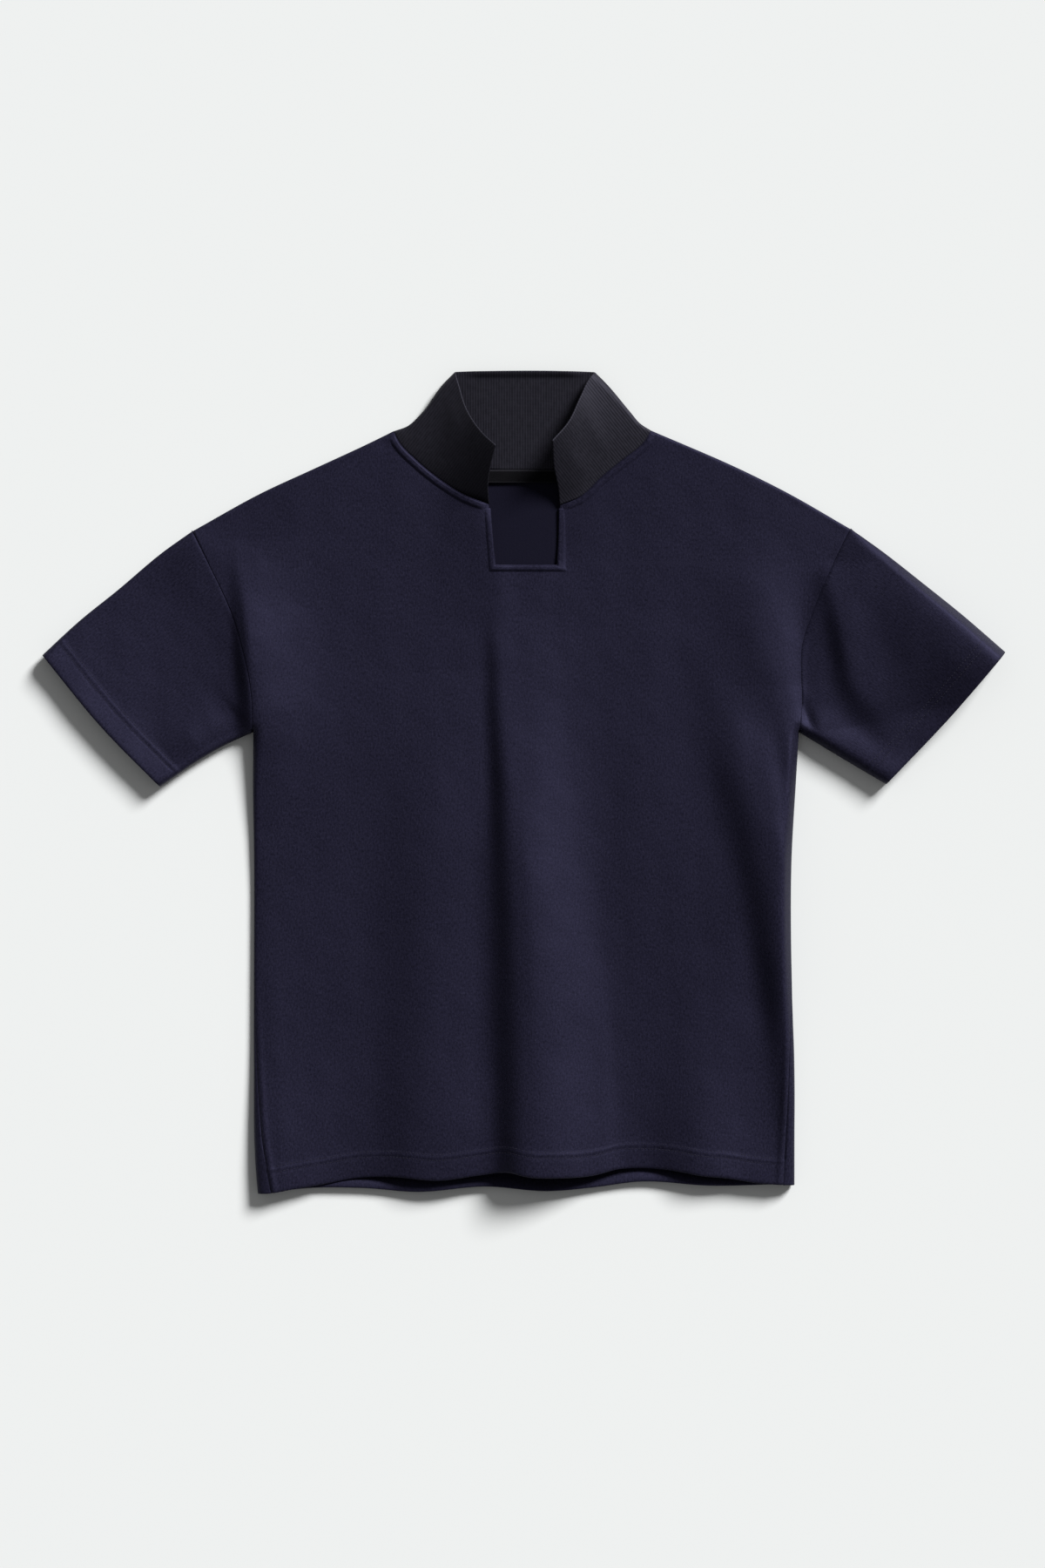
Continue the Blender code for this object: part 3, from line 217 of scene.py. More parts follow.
# Low creases and broad swells that the solids leave out, in the same rows. A negative height is a groove.
soft = (2.0, 2.0)
creases = [
    [    # beside the left armhole
        (-247, 172, 0, 3, 4), (-245, 150, -0.7, 3, 3), (-242, 128, -0.8, 3, 3), (-240, 107, -0.5, 3, 3),
        (-238, 88, 0, 3, 3)],
    [    # between the right side's two ridges
        (215, 74, 0, 6, 6), (218, 40, -0.6, 7, 7), (221, 14, -0.9, 7, 7), (225, -32, -1.2, 6, 6),
        (228, -66, 0, 6, 5)],
    [    # a low swell on the middle fold's right flank
        (58, -150, 0, 12, 12), (64, -200, 0.9, 12, 11), (68, -262, 1.4, 12, 10), (70, -330, 1.2, 12, 9)],
    [    # at the left neck point
        (-125, 299, 0, 1.6, 1.6), (-122, 294, -0.9, 1.8, 2), (-116.5, 286, 0, 1.6, 1.6)],
    [    # below the right armhole
        (239.5, 78, 0, 3, 4), (241, 65, -1.4, 3, 5), (245, 54, -2, 3.5, 5), (252, 44, 0, 3, 4)],
    [    # along the middle of the right sleeve
        (304, 192, 0, 26, 50), (316, 160, 3.6, 32, 58), (330, 128, 6, 36, 62), (340, 96, 5.6, 36, 58),
        (346, 62, 0, 30, 44)],
    [    # its upper half rises to the upper edge
        (285, 222, 0, 50, 40), (310, 200, 2, 64, 40), (345, 168, 3, 74, 40), (404, 114, 3, 76, 40)],
    [    # a soft trough down the left of the front
        (-126, 20, 0, 14, 16), (-128, -90, -1, 18, 20), (-127, -240, -1.6, 22, 22),
        (-122, -362, -1.8, 24, 22)],
    [    # where the hem sinks to the back on the left
        (-156, -250, 0, 30, 26), (-154, -300, -1.2, 32, 28), (-152, -362, -3.6, 36, 30)],
    [    # and on the right
        (102, -250, 0, 28, 28), (102, -300, -1.8, 31, 31), (103, -362, -6, 35, 35)],
    [    # the foot of the middle fold's steep side
        (-48, 30, 0, 30, 10), (-46, -30, -1, 36, 12), (-45, -100, -1.7, 40, 13), (-43, -200, -1.7, 40, 13),
        (-42, -362, -1.3, 36, 13)],
    [    # and its shoulder
        (-2, -10, 0, 8, 20), (5, -76, 1.5, 9, 22), (9, -140, 1.6, 9, 22), (12, -240, 1.5, 9, 22),
        (13, -362, 1, 9, 22)],
    [    # the shoulder of the right side's ridge
        (212, -20, 0, 10, 8), (221, -70, 1.7, 12, 9), (224, -130, 1.7, 11, 8), (226, -190, 0.8, 9, 8),
        (227, -230, 0, 8, 8)],
    [    # the front rises slowly to the right side
        (234, 84, 0, 50, 30), (236, 20, 3.6, 62, 30), (238, -60, 5.2, 78, 30), (236, -150, 4.8, 88, 30),
        (230, -250, 0, 76, 30)],
    [    # low at the right side
        (204, -190, 0, 16, 12), (206, -240, 1.5, 17, 12), (206, -290, 0, 16, 12)],
    [    # along the notch's left side
        (-36, 242, 5, 24, 12), (-29, 212, 5, 30, 14), (-26, 178, 2.6, 40, 14), (-26, 135, 0, 44, 14)],
    [    # low at its right side
        (31, 238, -1.3, 10, 16), (30, 205, -1.9, 10, 18), (30, 172, 0, 10, 16)],
    [    # the left shoulder, beside the armhole
        (-258, 142, 0, 16, 28), (-268, 172, 1.4, 24, 32), (-277, 200, 2, 28, 36), (-276, 224, 0, 28, 36)],
    [    # the left cuff's band curls up from here
        (-402, 128, -1.2, 15, 50), (-346, 62, -2.2, 15, 55), (-292, 6, -1.8, 15, 50)],
    [    # low beside the left underarm
        (-247, 66, 0, 12, 12), (-258, 56, -2.6, 15, 15), (-270, 48, -2.2, 16, 16), (-286, 40, 0, 14, 14)],
]

# where the lower layer is lifted at the hem:  middle, spread, height
hemLifts = [(-212, 26, 4), (-72, 30, 4.5), (16, 34, 6), (158, 30, 4.5)]

# the cloth's slight unevenness, as waves:  length across, length along, turn, shift, share
waves = [(83, 210, 0.3, 0.4, 1), (47, 130, -0.4, 2.1, 0.8), (131, 61, 0.8, 4, 0.7), (29, 74, 0.2, 1.3, 0.5),
         (61, 38, -0.9, 5.2, 0.5), (19, 43, 0.5, 3.3, 0.3)]

edgePaths = [along(points, np.linspace(0, 1, 48)) for points in
             (shoulderLeft, shoulderRight, sleeveLeft["upper"], sleeveLeft["lower"], sleeveRight["upper"],
              sleeveRight["lower"])]
cuffPaths = [along(outline["cuff"], np.linspace(0, 1, 12)) for outline in (sleeveLeft, sleeveRight)]
foldPaths = [(along(rows, np.linspace(0, 1, 28)), steep) for steep, rows in folds]
creasePaths = [(along(rows, np.linspace(0, 1, 20)), soft) for rows in creases]


# Each fold adds height * exp(-(distance / spread) ** steep), with its own spread and power on each side.
def foldHeight(x, y, paths):
    total = np.zeros(x.shape)
    for path, steep in paths:
        reach = 3 * path[:, 3:].max()
        close = ((x > path[:, 0].min() - reach) & (x < path[:, 0].max() + reach)
                 & (y > path[:, 1].min() - reach) & (y < path[:, 1].max() + reach))
        if close.any():
            distance, right, columns = nearestOn(x[close], y[close], path)
            spread = np.where(right, columns[:, 4], columns[:, 3])
            total[close] += columns[:, 2] * np.exp(-(distance / spread)**np.where(right, steep[1], steep[0]))
    return total


# The sum of sine waves across the cloth, each along its own turned direction.
def uneven(x, y):
    total = np.zeros(np.shape(x))
    for across, down, turn, shift, share in waves:
        u, v = x * math.cos(turn) + y * math.sin(turn), y * math.cos(turn) - x * math.sin(turn)
        total = total + (share * np.sin(2 * np.pi * u / across + shift)
                         * np.cos(2 * np.pi * v / down + 2 * shift))
    return total * cloth["unevenness"]


# The loft, plus a smooth rise to the hem, a power of the nearness to each cuff, and the folds.
def topForm(x, y):
    height = cloth["loft"] + cloth["hemLoft"] * smoothStep(1 - (y - baseY) / cloth["hemReach"])
    for cuff in cuffPaths:
        rise = np.clip(1 - nearestOn(x, y, cuff)[0] / cloth["cuffReach"], 0, 1)
        height = height + cloth["cuffLoft"] * rise**cloth["cuffPower"]
    return height + foldHeight(x, y, foldPaths)


# The hem's lifts, height * exp(-((x - middle) / spread) ** 2), fading inward; low ones stay flat.
def bottomForm(x, y):
    fade = smoothStep(1 - (y - baseY) / cloth["liftReach"])
    lift = sum(height * bell(x - middle, spread) for middle, spread, height in hemLifts)
    return np.maximum(lift * fade - cloth["liftFloor"], 0)


# The least distance in plan to any folded edge.
def edgeDistance(x, y):
    left, right = columnsAt(sideEdge, y)
    below = y < underarmY + 2
    nearest = np.where(below, np.minimum(np.abs(x - left), np.abs(x - right)), np.inf)
    for path in edgePaths:
        nearest = np.minimum(nearest, nearestOn(x, y, path)[0])
    return nearest


# The outer surface: mid height + side * half height * (1 - turn ** p) ** (1 / p), where turn runs from 0,
# past the rounding, to 1 on the folded edge. Side 1 is the upper layer and -1 the lower.
def clothHeight(x, y, side):
    top, bottom = topForm(x, y), bottomForm(x, y)
    half = (top - bottom) / 2
    fromEdge = edgeDistance(x, y)
    full = turned(fromEdge, cloth["edgeRound"] * 2 * half)
    fromNeck = np.minimum(*(np.hypot(x - neckX, y - neckY)
                            for neckX, neckY in (cloth["neckLeft"], cloth["neckRight"])))
    gap = cloth["neckPointGap"] - cloth["seamGap"]
    gap = cloth["seamGap"] + gap * smoothStep(1 - fromNeck / cloth["neckPointReach"])
    height = bottom + half + side * np.maximum(half * full, gap / 2)
    detail = foldHeight(x, y, creasePaths) + uneven(x, y)
    return height + np.where(np.asarray(side) > 0, detail * smoothStep(fromEdge / cloth["detailFade"]), 0)


# (1 - turn ** p) ** (1 / p), where turn falls from 1 on the edge to 0 at the radius.
def turned(fromEdge, radius):
    turn = np.clip(1 - fromEdge / radius, 0, 1)
    return (1 - turn**cloth["edgePower"])**(1 / cloth["edgePower"])


# Plan distance from a folded edge, for a length of cloth from it: a quarter turn, then flat.
def rolled(arc, radius):
    quarter, arc = radius * np.pi / 2, np.abs(arc)
    return np.where(arc < quarter, radius * (1 - np.cos(np.minimum(arc, quarter) / radius)),
                    radius + arc - quarter)


# The length of cloth for a plan distance beyond the quarter turn.
def unrolled(distance, radius):
    return distance - radius + radius * np.pi / 2


# Shares of the plan width for shares of the cloth, which turns down at both ends.
def rolledShares(shares, width, radius):
    half = unrolled(width / 2, radius)
    arc = shares * 2 * half
    fromEdge = rolled(np.minimum(arc, 2 * half - arc), radius) / width
    return np.where(arc > half, 1 - fromEdge, fromEdge)


def edgeRadius(x, y):
    return cloth["edgeRound"] * (topForm(x, y) - bottomForm(x, y))


# Blends four border curves: the two across plus the two up, minus the corners counted twice.
def between(low, high, left, right, across, up):
    across, up = np.broadcast_arrays(across, up)
    s, t = across[..., None], up[..., None]
    corners = ((1 - s) * (1 - t) * low(0.0) + s * (1 - t) * low(1.0) + (1 - s) * t * high(0.0)
               + s * t * high(1.0))
    return (1 - t) * low(across) + t * high(across) + (1 - s) * left(up) + s * right(up) - corners


# meshes

# Quad corners of a grid of rows x columns numbers, each row joined to the next.
def quads(numbers, closed=False, flip=False):
    if closed:
        numbers = np.concatenate([numbers, numbers[:, :1]], axis=1)
    faces = np.stack([numbers[:-1, :-1], numbers[:-1, 1:], numbers[1:, 1:], numbers[1:, :-1]], -1)
    return faces.reshape(-1, 4)[:, ::-1 if flip else 1]


# The mean direction of the faces round each point.
def pointNormals(points, faces):
    across = np.cross(points[faces[:, 2]] - points[faces[:, 0]], points[faces[:, 3]] - points[faces[:, 1]])
    normals = np.zeros_like(points)
    for corner in range(4):
        np.add.at(normals, faces[:, corner], across)
    return unit(normals)


def placed(name, data):
    made = bpy.data.objects.new(name, data)
    bpy.context.scene.collection.objects.link(made)
    return made


def newPiece(name, points, faces, uv, inside, material, node=None):
    mesh = bpy.data.meshes.new(name)
    mesh.vertices.add(len(points))
    mesh.vertices.foreach_set("co", (points * mm).astype(np.float32).ravel())
    mesh.loops.add(faces.size)
    mesh.loops.foreach_set("vertex_index", faces.astype(np.int32).ravel())
    mesh.polygons.add(len(faces))
    mesh.polygons.foreach_set("loop_start", np.arange(0, faces.size, 4, dtype=np.int32))
    mesh.polygons.foreach_set("use_smooth", np.ones(len(faces), bool))
    mesh.update(calc_edges=True)
    layer = mesh.uv_layers.new(name="cloth")
    layer.data.foreach_set("uv", (uv[faces.ravel()] * mm).astype(np.float32).ravel())
    # each point's share of painted shade for the cloth's inner side, read by the jersey's colour
    mesh.attributes.new("inside", "FLOAT", "POINT").data.foreach_set("value", inside.astype(np.float32))
    mesh.validate()
    mesh.materials.append(material)
    piece = placed(name, mesh)
    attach(piece, "root")
    if node:
        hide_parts(node)
    return piece


# A closed cloth wall from outer grids: the points merge where grids meet, the inner side is each point moved
# in along its normal by the wall, and the rim is a half circle of three more points, pushed out by the bulge.
# Wall and bulge are numbers, or functions of the points and their place on the cloth.
def clothShell(grids, wall, bulge, closed=False, flip=False):
    rows, uvRows, numbers, start = [], [], [], 0
    for points, uv in grids:
        rows.append(points.reshape(-1, 3))
        uvRows.append(uv.reshape(-1, 2))
        numbers.append(np.arange(len(rows[-1])).reshape(points.shape[:2]) + start)
        start += len(rows[-1])
    points, uv = np.concatenate(rows), np.concatenate(uvRows)
    _, first, same = np.unique(np.round(points, 3), axis=0, return_index=True, return_inverse=True)
    points, uv, same = points[first], uv[first], same.ravel()
    faces = same[np.concatenate([quads(n, closed, flip) for n in numbers])]
    normals = pointNormals(points, faces)
    count = len(points)
    wall, bulge = (np.broadcast_to(size(points, uv) if callable(size) else size, count)[:, None]
                   for size in (wall, bulge))
    edges = np.stack([faces, np.roll(faces, -1, axis=1)], -1).reshape(-1, 2)
    key = edges.min(1).astype(np.int64) * count + edges.max(1)
    _, where, times = np.unique(key, return_index=True, return_counts=True)
    border = edges[where[times == 1]]
    outward = np.zeros_like(points)
    step = points[border[:, 1]] - points[border[:, 0]]
    for end in (0, 1):
        np.add.at(outward, border[:, end], np.cross(step, normals[border[:, end]]))
    inner = points - normals * wall
    rim = np.unique(border)
    slot = np.zeros(count, int)
    slot[rim] = np.arange(len(rim))
    rings = [(points + inner)[rim] / 2 + normals[rim] * (wall[rim] / 2 * math.cos(t))
             + unit(outward)[rim] * (bulge[rim] * math.sin(t))
             for t in (0.25 * np.pi, 0.5 * np.pi, 0.75 * np.pi)]
    lines = [border.T, *[2 * count + k * len(rim) + slot[border.T] for k in range(3)], count + border.T]
    bands = [np.stack([high[1], high[0], low[0], low[1]], -1) for high, low in zip(lines[:-1], lines[1:])]
    # each point's share of painted shade: none on the outer side, all on the inner side, part on the rim's
    # inner rings
    inside = np.repeat([0.0, 1.0, 0.0, 0.4, 0.9], [count, count, *[len(rim)] * 3])
    return (np.concatenate([points, inner, *rings]), np.concatenate([faces, faces[:, ::-1] + count, *bands]),
            np.concatenate([uv, uv, *[uv[rim]] * 3]), inside)


# materials

def sign(operation, swapped=False):
    return lambda signal, other: signal.math(operation, other, swapped)


# A socket whose + - * / and ** add Math nodes.
class Signal:
    def __init__(self, tree, socket):
        self.tree, self.socket = tree, socket

    def math(self, operation, other, swapped=False):
        pair = (other, self) if swapped else (self, other)
        return self.tree.node("ShaderNodeMath", {"operation": operation}, pair)

    # cos(2 pi x)
    def wave(self):
        return (self.math("FRACT", 0.0) * (2 * math.pi)).math("COSINE", 0.0)

    __add__, __radd__ = sign("ADD"), sign("ADD", True)
    __sub__, __rsub__ = sign("SUBTRACT"), sign("SUBTRACT", True)
    __mul__, __rmul__ = sign("MULTIPLY"), sign("MULTIPLY", True)
    __truediv__, __pow__ = sign("DIVIDE"), sign("POWER")


class Finish:
    def __init__(self, name, shown):
        self.material = bpy.data.materials.new(name)
        self.material.use_nodes = True
        self.material.diffuse_color = (*shown, 1)
        self.nodes, self.links = self.material.node_tree.nodes, self.material.node_tree.links
        self.surface = self.nodes["Principled BSDF"]

    def feed(self, socket, value):
        if isinstance(value, Signal):
            self.links.new(value.socket, socket)
        else:
            socket.default_value = value

    # Adds a node: its settings first, then the values or signals of its sockets, by order or by name.
    def node(self, kind, settings=None, inputs=(), out=0):
        made = self.nodes.new(kind)
        for name, value in (settings or {}).items():
            setattr(made, name, value)
        for key, value in (inputs.items() if isinstance(inputs, dict) else enumerate(inputs)):
            self.feed(made.inputs[key], value)
        return Signal(self, made.outputs[out])

    def ramp(self, signal, low, high):
        return self.node("ShaderNodeMapRange", {"interpolation_type": "SMOOTHSTEP"},
                         {"Value": signal, "From Min": low, "From Max": high})

    def mix(self, factor, first, second):
        first, second = (c if isinstance(c, Signal) else (*c, 1) for c in (first, second))
        return self.node("ShaderNodeMix", {"data_type": "RGBA"}, {0: factor, 6: first, 7: second}, out=2)

    def uv(self):
        return self.node("ShaderNodeTexCoord", out=2)

    # The cloth's own U and V in millimetres.
    def clothPlace(self):
        place = self.uv()
        return [self.node("ShaderNodeSeparateXYZ", {}, [place], axis) * 1000 for axis in (0, 1)]

    # Noise whose grains are so many millimetres across and along.
    def noise(self, scaleU, scaleV, detail=2.0):
        stretched = self.node("ShaderNodeMapping", {}, {0: self.uv(), 3: (1000 / scaleU, 1000 / scaleV, 1)})
        return self.node("ShaderNodeTexNoise", {"noise_dimensions": "2D"},
                         {"Vector": stretched, "Scale": 1.0, "Detail": detail, "Roughness": 0.5})

    def set(self, **values):
        for name, value in values.items():
            self.feed(self.surface.inputs[name.replace("_", " ")], value)

    def bump(self, height, depth):
        made = self.node("ShaderNodeBump", {}, {"Strength": 1.0, "Distance": depth * mm, "Height": height})
        self.set(Normal=made)


def shade(colour, share):
    return tuple(c * share for c in colour)


# the inner side's share of the navy is a painted shade, with a little for the jersey's duller reverse face
jersey = {
    "navy": (0.0090, 0.0084, 0.0174), "lint": (0.027, 0.026, 0.043), "sheen": (0.52, 0.50, 1.0, 1),
    "inside": 0.5, "turnedUp": 25.0, "wale": 0.95, "course": 0.75, "rough": 0.56, "gloss": 0.2, "grain": 0.72,
    "gain": 2.0, "lintShare": 0.4, "depth": 0.2,
}


def navyJersey():
    navy, grainShare = jersey["navy"], jersey["grain"]
    f = Finish("navy_jersey", navy)
    u, v = f.clothPlace()
    # single jersey: each wale is a column of small V stitches
    lean = ((u / jersey["wale"]).math("FRACT", 0.0) - 0.5).math("ABSOLUTE", 0.0) * 2
    loop = (v / jersey["course"] + lean * 0.9).wave() * 0.5 + 0.5
    knit = loop * 0.45 + (1 - (1 - lean) ** 3.0) * 0.55
    streaks, mottle, broad = f.noise(1.2, 3.4, 3.0), f.noise(1.8, 2.1, 3.0), f.noise(60.0, 90.0)
    # painted shade on the inner side, a little of it the duller reverse; the turned-up hem and cuff bands get
    # none
    inside = (f.node("ShaderNodeAttribute", {"attribute_name": "inside"}, out=2)
              * f.ramp(v, jersey["turnedUp"] - 3, jersey["turnedUp"]))
    lint = f.ramp(f.noise(1.3, 1.5, 1.0), 0.66, 0.76)
    grain = 0.5 + (streaks * 0.45 + mottle * 0.45 + broad * 0.1 - 0.5) * jersey["gain"]
    tone = f.mix(grain, shade(navy, 1 - grainShare), shade(navy, 1 + grainShare))
    tone = f.mix(lint * jersey["lintShare"], tone, jersey["lint"])
    f.set(Base_Color=f.mix(inside, tone, shade(navy, jersey["inside"])),
          Roughness=jersey["rough"] + (mottle - 0.5) * 0.14 + inside * 0.3,
          Specular_IOR_Level=jersey["gloss"], Specular_Tint=jersey["sheen"])
    f.bump(knit * 0.25 + streaks * 0.3 + mottle * 0.35, jersey["depth"])
    return f.material


# the rib's grooves are coloured darker than its faces: painted shade in the recesses
rib = {"face": (0.0118, 0.0113, 0.0157), "grooveShade": (0.0051, 0.0049, 0.0071), "sheen": (0.78, 0.76, 1.0, 1),
       "rough": 0.56, "gloss": 0.2, "pitch": 2.25, "loop": 0.9, "depth": 0.16}


def charcoalRib():
    f = Finish("charcoal_rib", rib["face"])
    u, v = f.clothPlace()
    ridge = (u / rib["pitch"]).wave() * 0.5 + 0.5
    loops = (v / rib["loop"]).wave() * 0.5 + 0.5
    mottle = f.noise(3.0, 6.0, 3.0)
    # painted shade: the grooves between the ribs darker than the faces
    tone = f.mix(ridge, rib["grooveShade"], rib["face"])
    grain = 0.5 + (mottle - 0.5) * 2.0
    f.set(Base_Color=f.mix(grain * 0.4, tone, shade(rib["face"], 1.5)),
          Roughness=rib["rough"] + (mottle - 0.5) * 0.16,
          Specular_IOR_Level=rib["gloss"], Specular_Tint=rib["sheen"])
    f.bump(ridge * 0.6 + loops * 0.2 + mottle * 0.5, rib["depth"])
    return f.material


tape = {"shown": (0.006, 0.006, 0.008), "face": (0.0026, 0.0024, 0.0035), "topEdge": (0.017, 0.0165, 0.021),
        "lowEdge": (0.012, 0.0115, 0.015), "topStart": (9.2, 9.6), "lowEnd": (0.5, 0.9),
        "pitch": 0.55, "rough": 0.75, "gloss": 0.06, "depth": 0.12}


def blackTape():
    f = Finish("black_tape", tape["shown"])
    u, v = f.clothPlace()
    weave = ((u / tape["pitch"]).wave() * (v / tape["pitch"]).wave()) * 0.5 + 0.5
    topEdge, lowEdge = f.ramp(v, *tape["topStart"]), 1 - f.ramp(v, *tape["lowEnd"])
    tone = f.mix(topEdge, tape["face"], tape["topEdge"])
    f.set(Base_Color=f.mix(lowEdge * 0.6, tone, tape["lowEdge"]), Roughness=tape["rough"],
          Specular_IOR_Level=tape["gloss"])
    f.bump(weave + topEdge * 1.5, tape["depth"])
    return f.material


# the twist's recesses take a share of the thread's colour: painted shade
thread = {"colour": (0.020, 0.0185, 0.036), "grooveShade": 0.7, "twist": 0.35, "rough": 0.5, "gloss": 0.2,
          "depth": 0.08}


def twistedThread():
    f = Finish("navy_thread", thread["colour"])
    u, v = f.clothPlace()
    twist = ((u + v) / thread["twist"]).wave() * 0.5 + 0.5
    # painted shade: darker in the grooves of the twist
    f.set(Base_Color=f.mix(twist, shade(thread["colour"], thread["grooveShade"]), thread["colour"]),
          Roughness=thread["rough"], Specular_IOR_Level=thread["gloss"])
    f.bump(twist, thread["depth"])
    return f.material


navyCloth = navyJersey()
ribCloth = charcoalRib()
tapeCloth = blackTape()
navyThread = twistedThread()
print("materials are ready")


# body

body = {
    "columns": (84, 44, 78),    # left seam to the fold's steep side, across the fold, on to the right seam
    "bandRows": 20, "lowRows": 84, "chestRows": 44, "yokeRows": 34,
    "backWrap": 13, "backAcross": 128, "backNeck": 70,
    "hemBand": 27.0, "stitchLines": (17.2, 22.3), "bandDepth": 23.2, "bandStep": 0.35,
    "needleDepth": 0.28, "needleReach": 0.8, "welt": 0.22, "weltReach": 1.3,
    "edgeDrop": 0.45, "edgeReach": 2.2,
    "wall": 1.05, "hemWall": 1.7, "wallTop": 34.0, "hemRim": 0.55, "seamRim": 0.12, "rimTop": 20.0,
    "besideSeam": (0.0, 0.5, 1.1, 2.0), "crowd": 0.55, "shoulderShare": 0.6,
    "yokeEdge": (5.0, 3.4, 2.1, 1.2, 0.55, 0.15, 0.0), "swellTopY": -150.0, "swellFade": 120.0,
    "seamSwell": 0.95, "swellReach": 3.0, "seamGroove": 0.4, "grooveReach": 0.8,
    "backLift": 4.6, "backLiftReach": 16.0, "backLiftEnd": 215.0, "backLiftFade": 25.0,
}
# the middle fold's steep left side and its right foot:  y, steep, foot
foldLines = [(-350, -7, 81.5), (-256, -13.1, 75.5), (-166, -14.6, 67.5), (-76, -18.4, 60),
             (13, -22.9, 50), (103, -25.1, 43), (150, -26, 37), (187, -24, 28.9)]
seamShift = cloth["seamGap"] * 0.6


def sideLines(y):
    return np.where(y < underarmY, columnsAt(sideEdge, y), columnsAt(armhole, y))


# Rows at set distances above the hem's own line, easing into level ones at the underarm and the notch.
def rowPlaces(hem, x):
    hemY = columnsAt(hem, x)[0]
    reach = underarmY - baseY
    band = np.linspace(0, body["hemBand"] / reach, body["bandRows"] + 1)
    low = np.concatenate([band, np.linspace(band[-1], 1, body["lowRows"] + 1)[1:]])[:, None]
    chest = np.linspace(0, 1, body["chestRows"] + 1)[1:, None]
    below = hemY[:len(low)] + (underarmY - hemY[:len(low)]) * low
    above = underarmY + (notchY - underarmY) * chest * np.ones_like(hemY[len(low):])
    return np.concatenate([below, above])


# Columns depend on y and rows on the hem at x, so they are worked out in turns until they settle.
def settled(hem, columnsOf):
    rows = body["bandRows"] + body["lowRows"] + body["chestRows"] + 1
    y = np.linspace(baseY, notchY, rows)[:, None]
    for _ in range(4):
        x = columnsOf(y)
        y = rowPlaces(hem, x)
    return columnsOf(y), y


# Arc shares from a seam: three close columns beside it, then even ones that crowd near both ends.
def besideSeam(count, length):
    close = np.array(body["besideSeam"]) / length.mean()
    others = crowded(count - len(close) + 1, body["crowd"])
    return np.concatenate([close[:-1], close[-1] + (1 - close[-1]) * others])


# Columns from a side seam to an inner line, by shares of the cloth's length; inward is 1 from the left side.
def sideColumns(y, edge, seam, inner, inward, count):
    radius = edgeRadius(edge, y)
    length = unrolled(inward * (inner - edge), radius) - seam
    shares = besideSeam(count, length)
    shares = shares if inward > 0 else shares[::-1][1:]
    return edge + inward * rolled(seam + shares * length, radius)


def frontColumns(y):
    near, middle, far = body["columns"]
    y = np.broadcast_to(y, (len(y), near + middle + far + 1))
    edges = sideLines(y)
    seams = np.maximum(columnsAt(sideSeam, y), 0) + cloth["seamGap"] / 2
    steep, foot = columnsAt(foldLines, y)
    left, across, right = slice(0, near + 1), slice(near + 1, near + 1 + middle), slice(-far, None)
    return np.concatenate([
        sideColumns(y[:, left], edges[0][:, left], seams[0][:, left], steep[:, left], 1, near),
        steep[:, across] + crowded(middle, 0.5)[1:] * (foot - steep)[:, across],
        sideColumns(y[:, right], edges[1][:, right], seams[1][:, right], foot[:, right], -1, far)], axis=1)


# A row of points as a curve: straight from each point to the next.
def rowCurve(row):
    shares = np.linspace(0, 1, len(row))
    return lambda t: np.stack([np.interp(t, shares, row[:, axis]) for axis in (0, 1)], -1)


# Rows from the notch's level to the shoulder and neckline, closer together at the top.
def yokeGrid(lowRow, sideCurve, innerCurve, topPoints):
    across = np.linspace(0, 1, len(lowRow))
    length = np.linalg.norm(topPoints - lowRow, axis=1)
    edge = 1 - np.array(body["yokeEdge"])[:, None] / length
    up = np.concatenate([np.linspace(0, 1, body["yokeRows"] + 1)[:-1, None] * edge[0], edge])
    rows = between(rowCurve(lowRow), rowCurve(topPoints), sideCurve, innerCurve, across, up)
    rows[0], rows[-1] = lowRow, topPoints
    return rows


# The armhole's seam on a side, 0 left or 1 right, moved across by the shift.
def armholeAt(y, side, shift):
    return np.stack([columnsAt(armhole, y)[side] + shift, y], -1)


# A side's shoulder, its outer end moved in from the armhole; and the armhole from the notch's level up.
def shoulderAndArmhole(side):
    (outerX, outerY), *others = (shoulderLeft, shoulderRight)[side]
    shift = (seamShift, -seamShift)[side]
    rise = outerY - notchY
    return ([(outerX + shift, outerY), *others],
            lambda shares: armholeAt(notchY + rise * np.asarray(shares, float), side, shift))


def halfYoke(lowRow, side):
    shoulder, seam = shoulderAndArmhole(side)
    neckline = (necklineLeft, necklineRight)[side]
    beside = round(len(lowRow) * body["shoulderShare"])    # how many columns end on the shoulder
    top = np.concatenate([along(shoulder, crowded(beside, 0.4)),
                          along(neckline, crowded(len(lowRow) - 1 - beside, 0.3)[1:])])
    return yokeGrid(lowRow, seam, curve([lowRow[-1], top[-1]]), top)


# The plan laid on a surface. U is the length along each row, level with x at the middle; V starts at the hem.
def laidGrid(plan, side):
    x, y = plan[..., 0], plan[..., 1]
    points = np.stack([x, y, clothHeight(x, y, side)], -1)
    stretch = np.linalg.norm(np.diff(points, axis=1), axis=2)
    u = np.concatenate([np.zeros((len(x), 1)), np.cumsum(stretch, axis=1)], axis=1)
    half = u.shape[1] // 2
    u -= u[:, half, None] - x[:, half, None]
    return points, np.stack([u, y - baseY], -1)


def raised(points, lift):
    return points + np.stack([np.zeros_like(lift), np.zeros_like(lift), lift], -1)


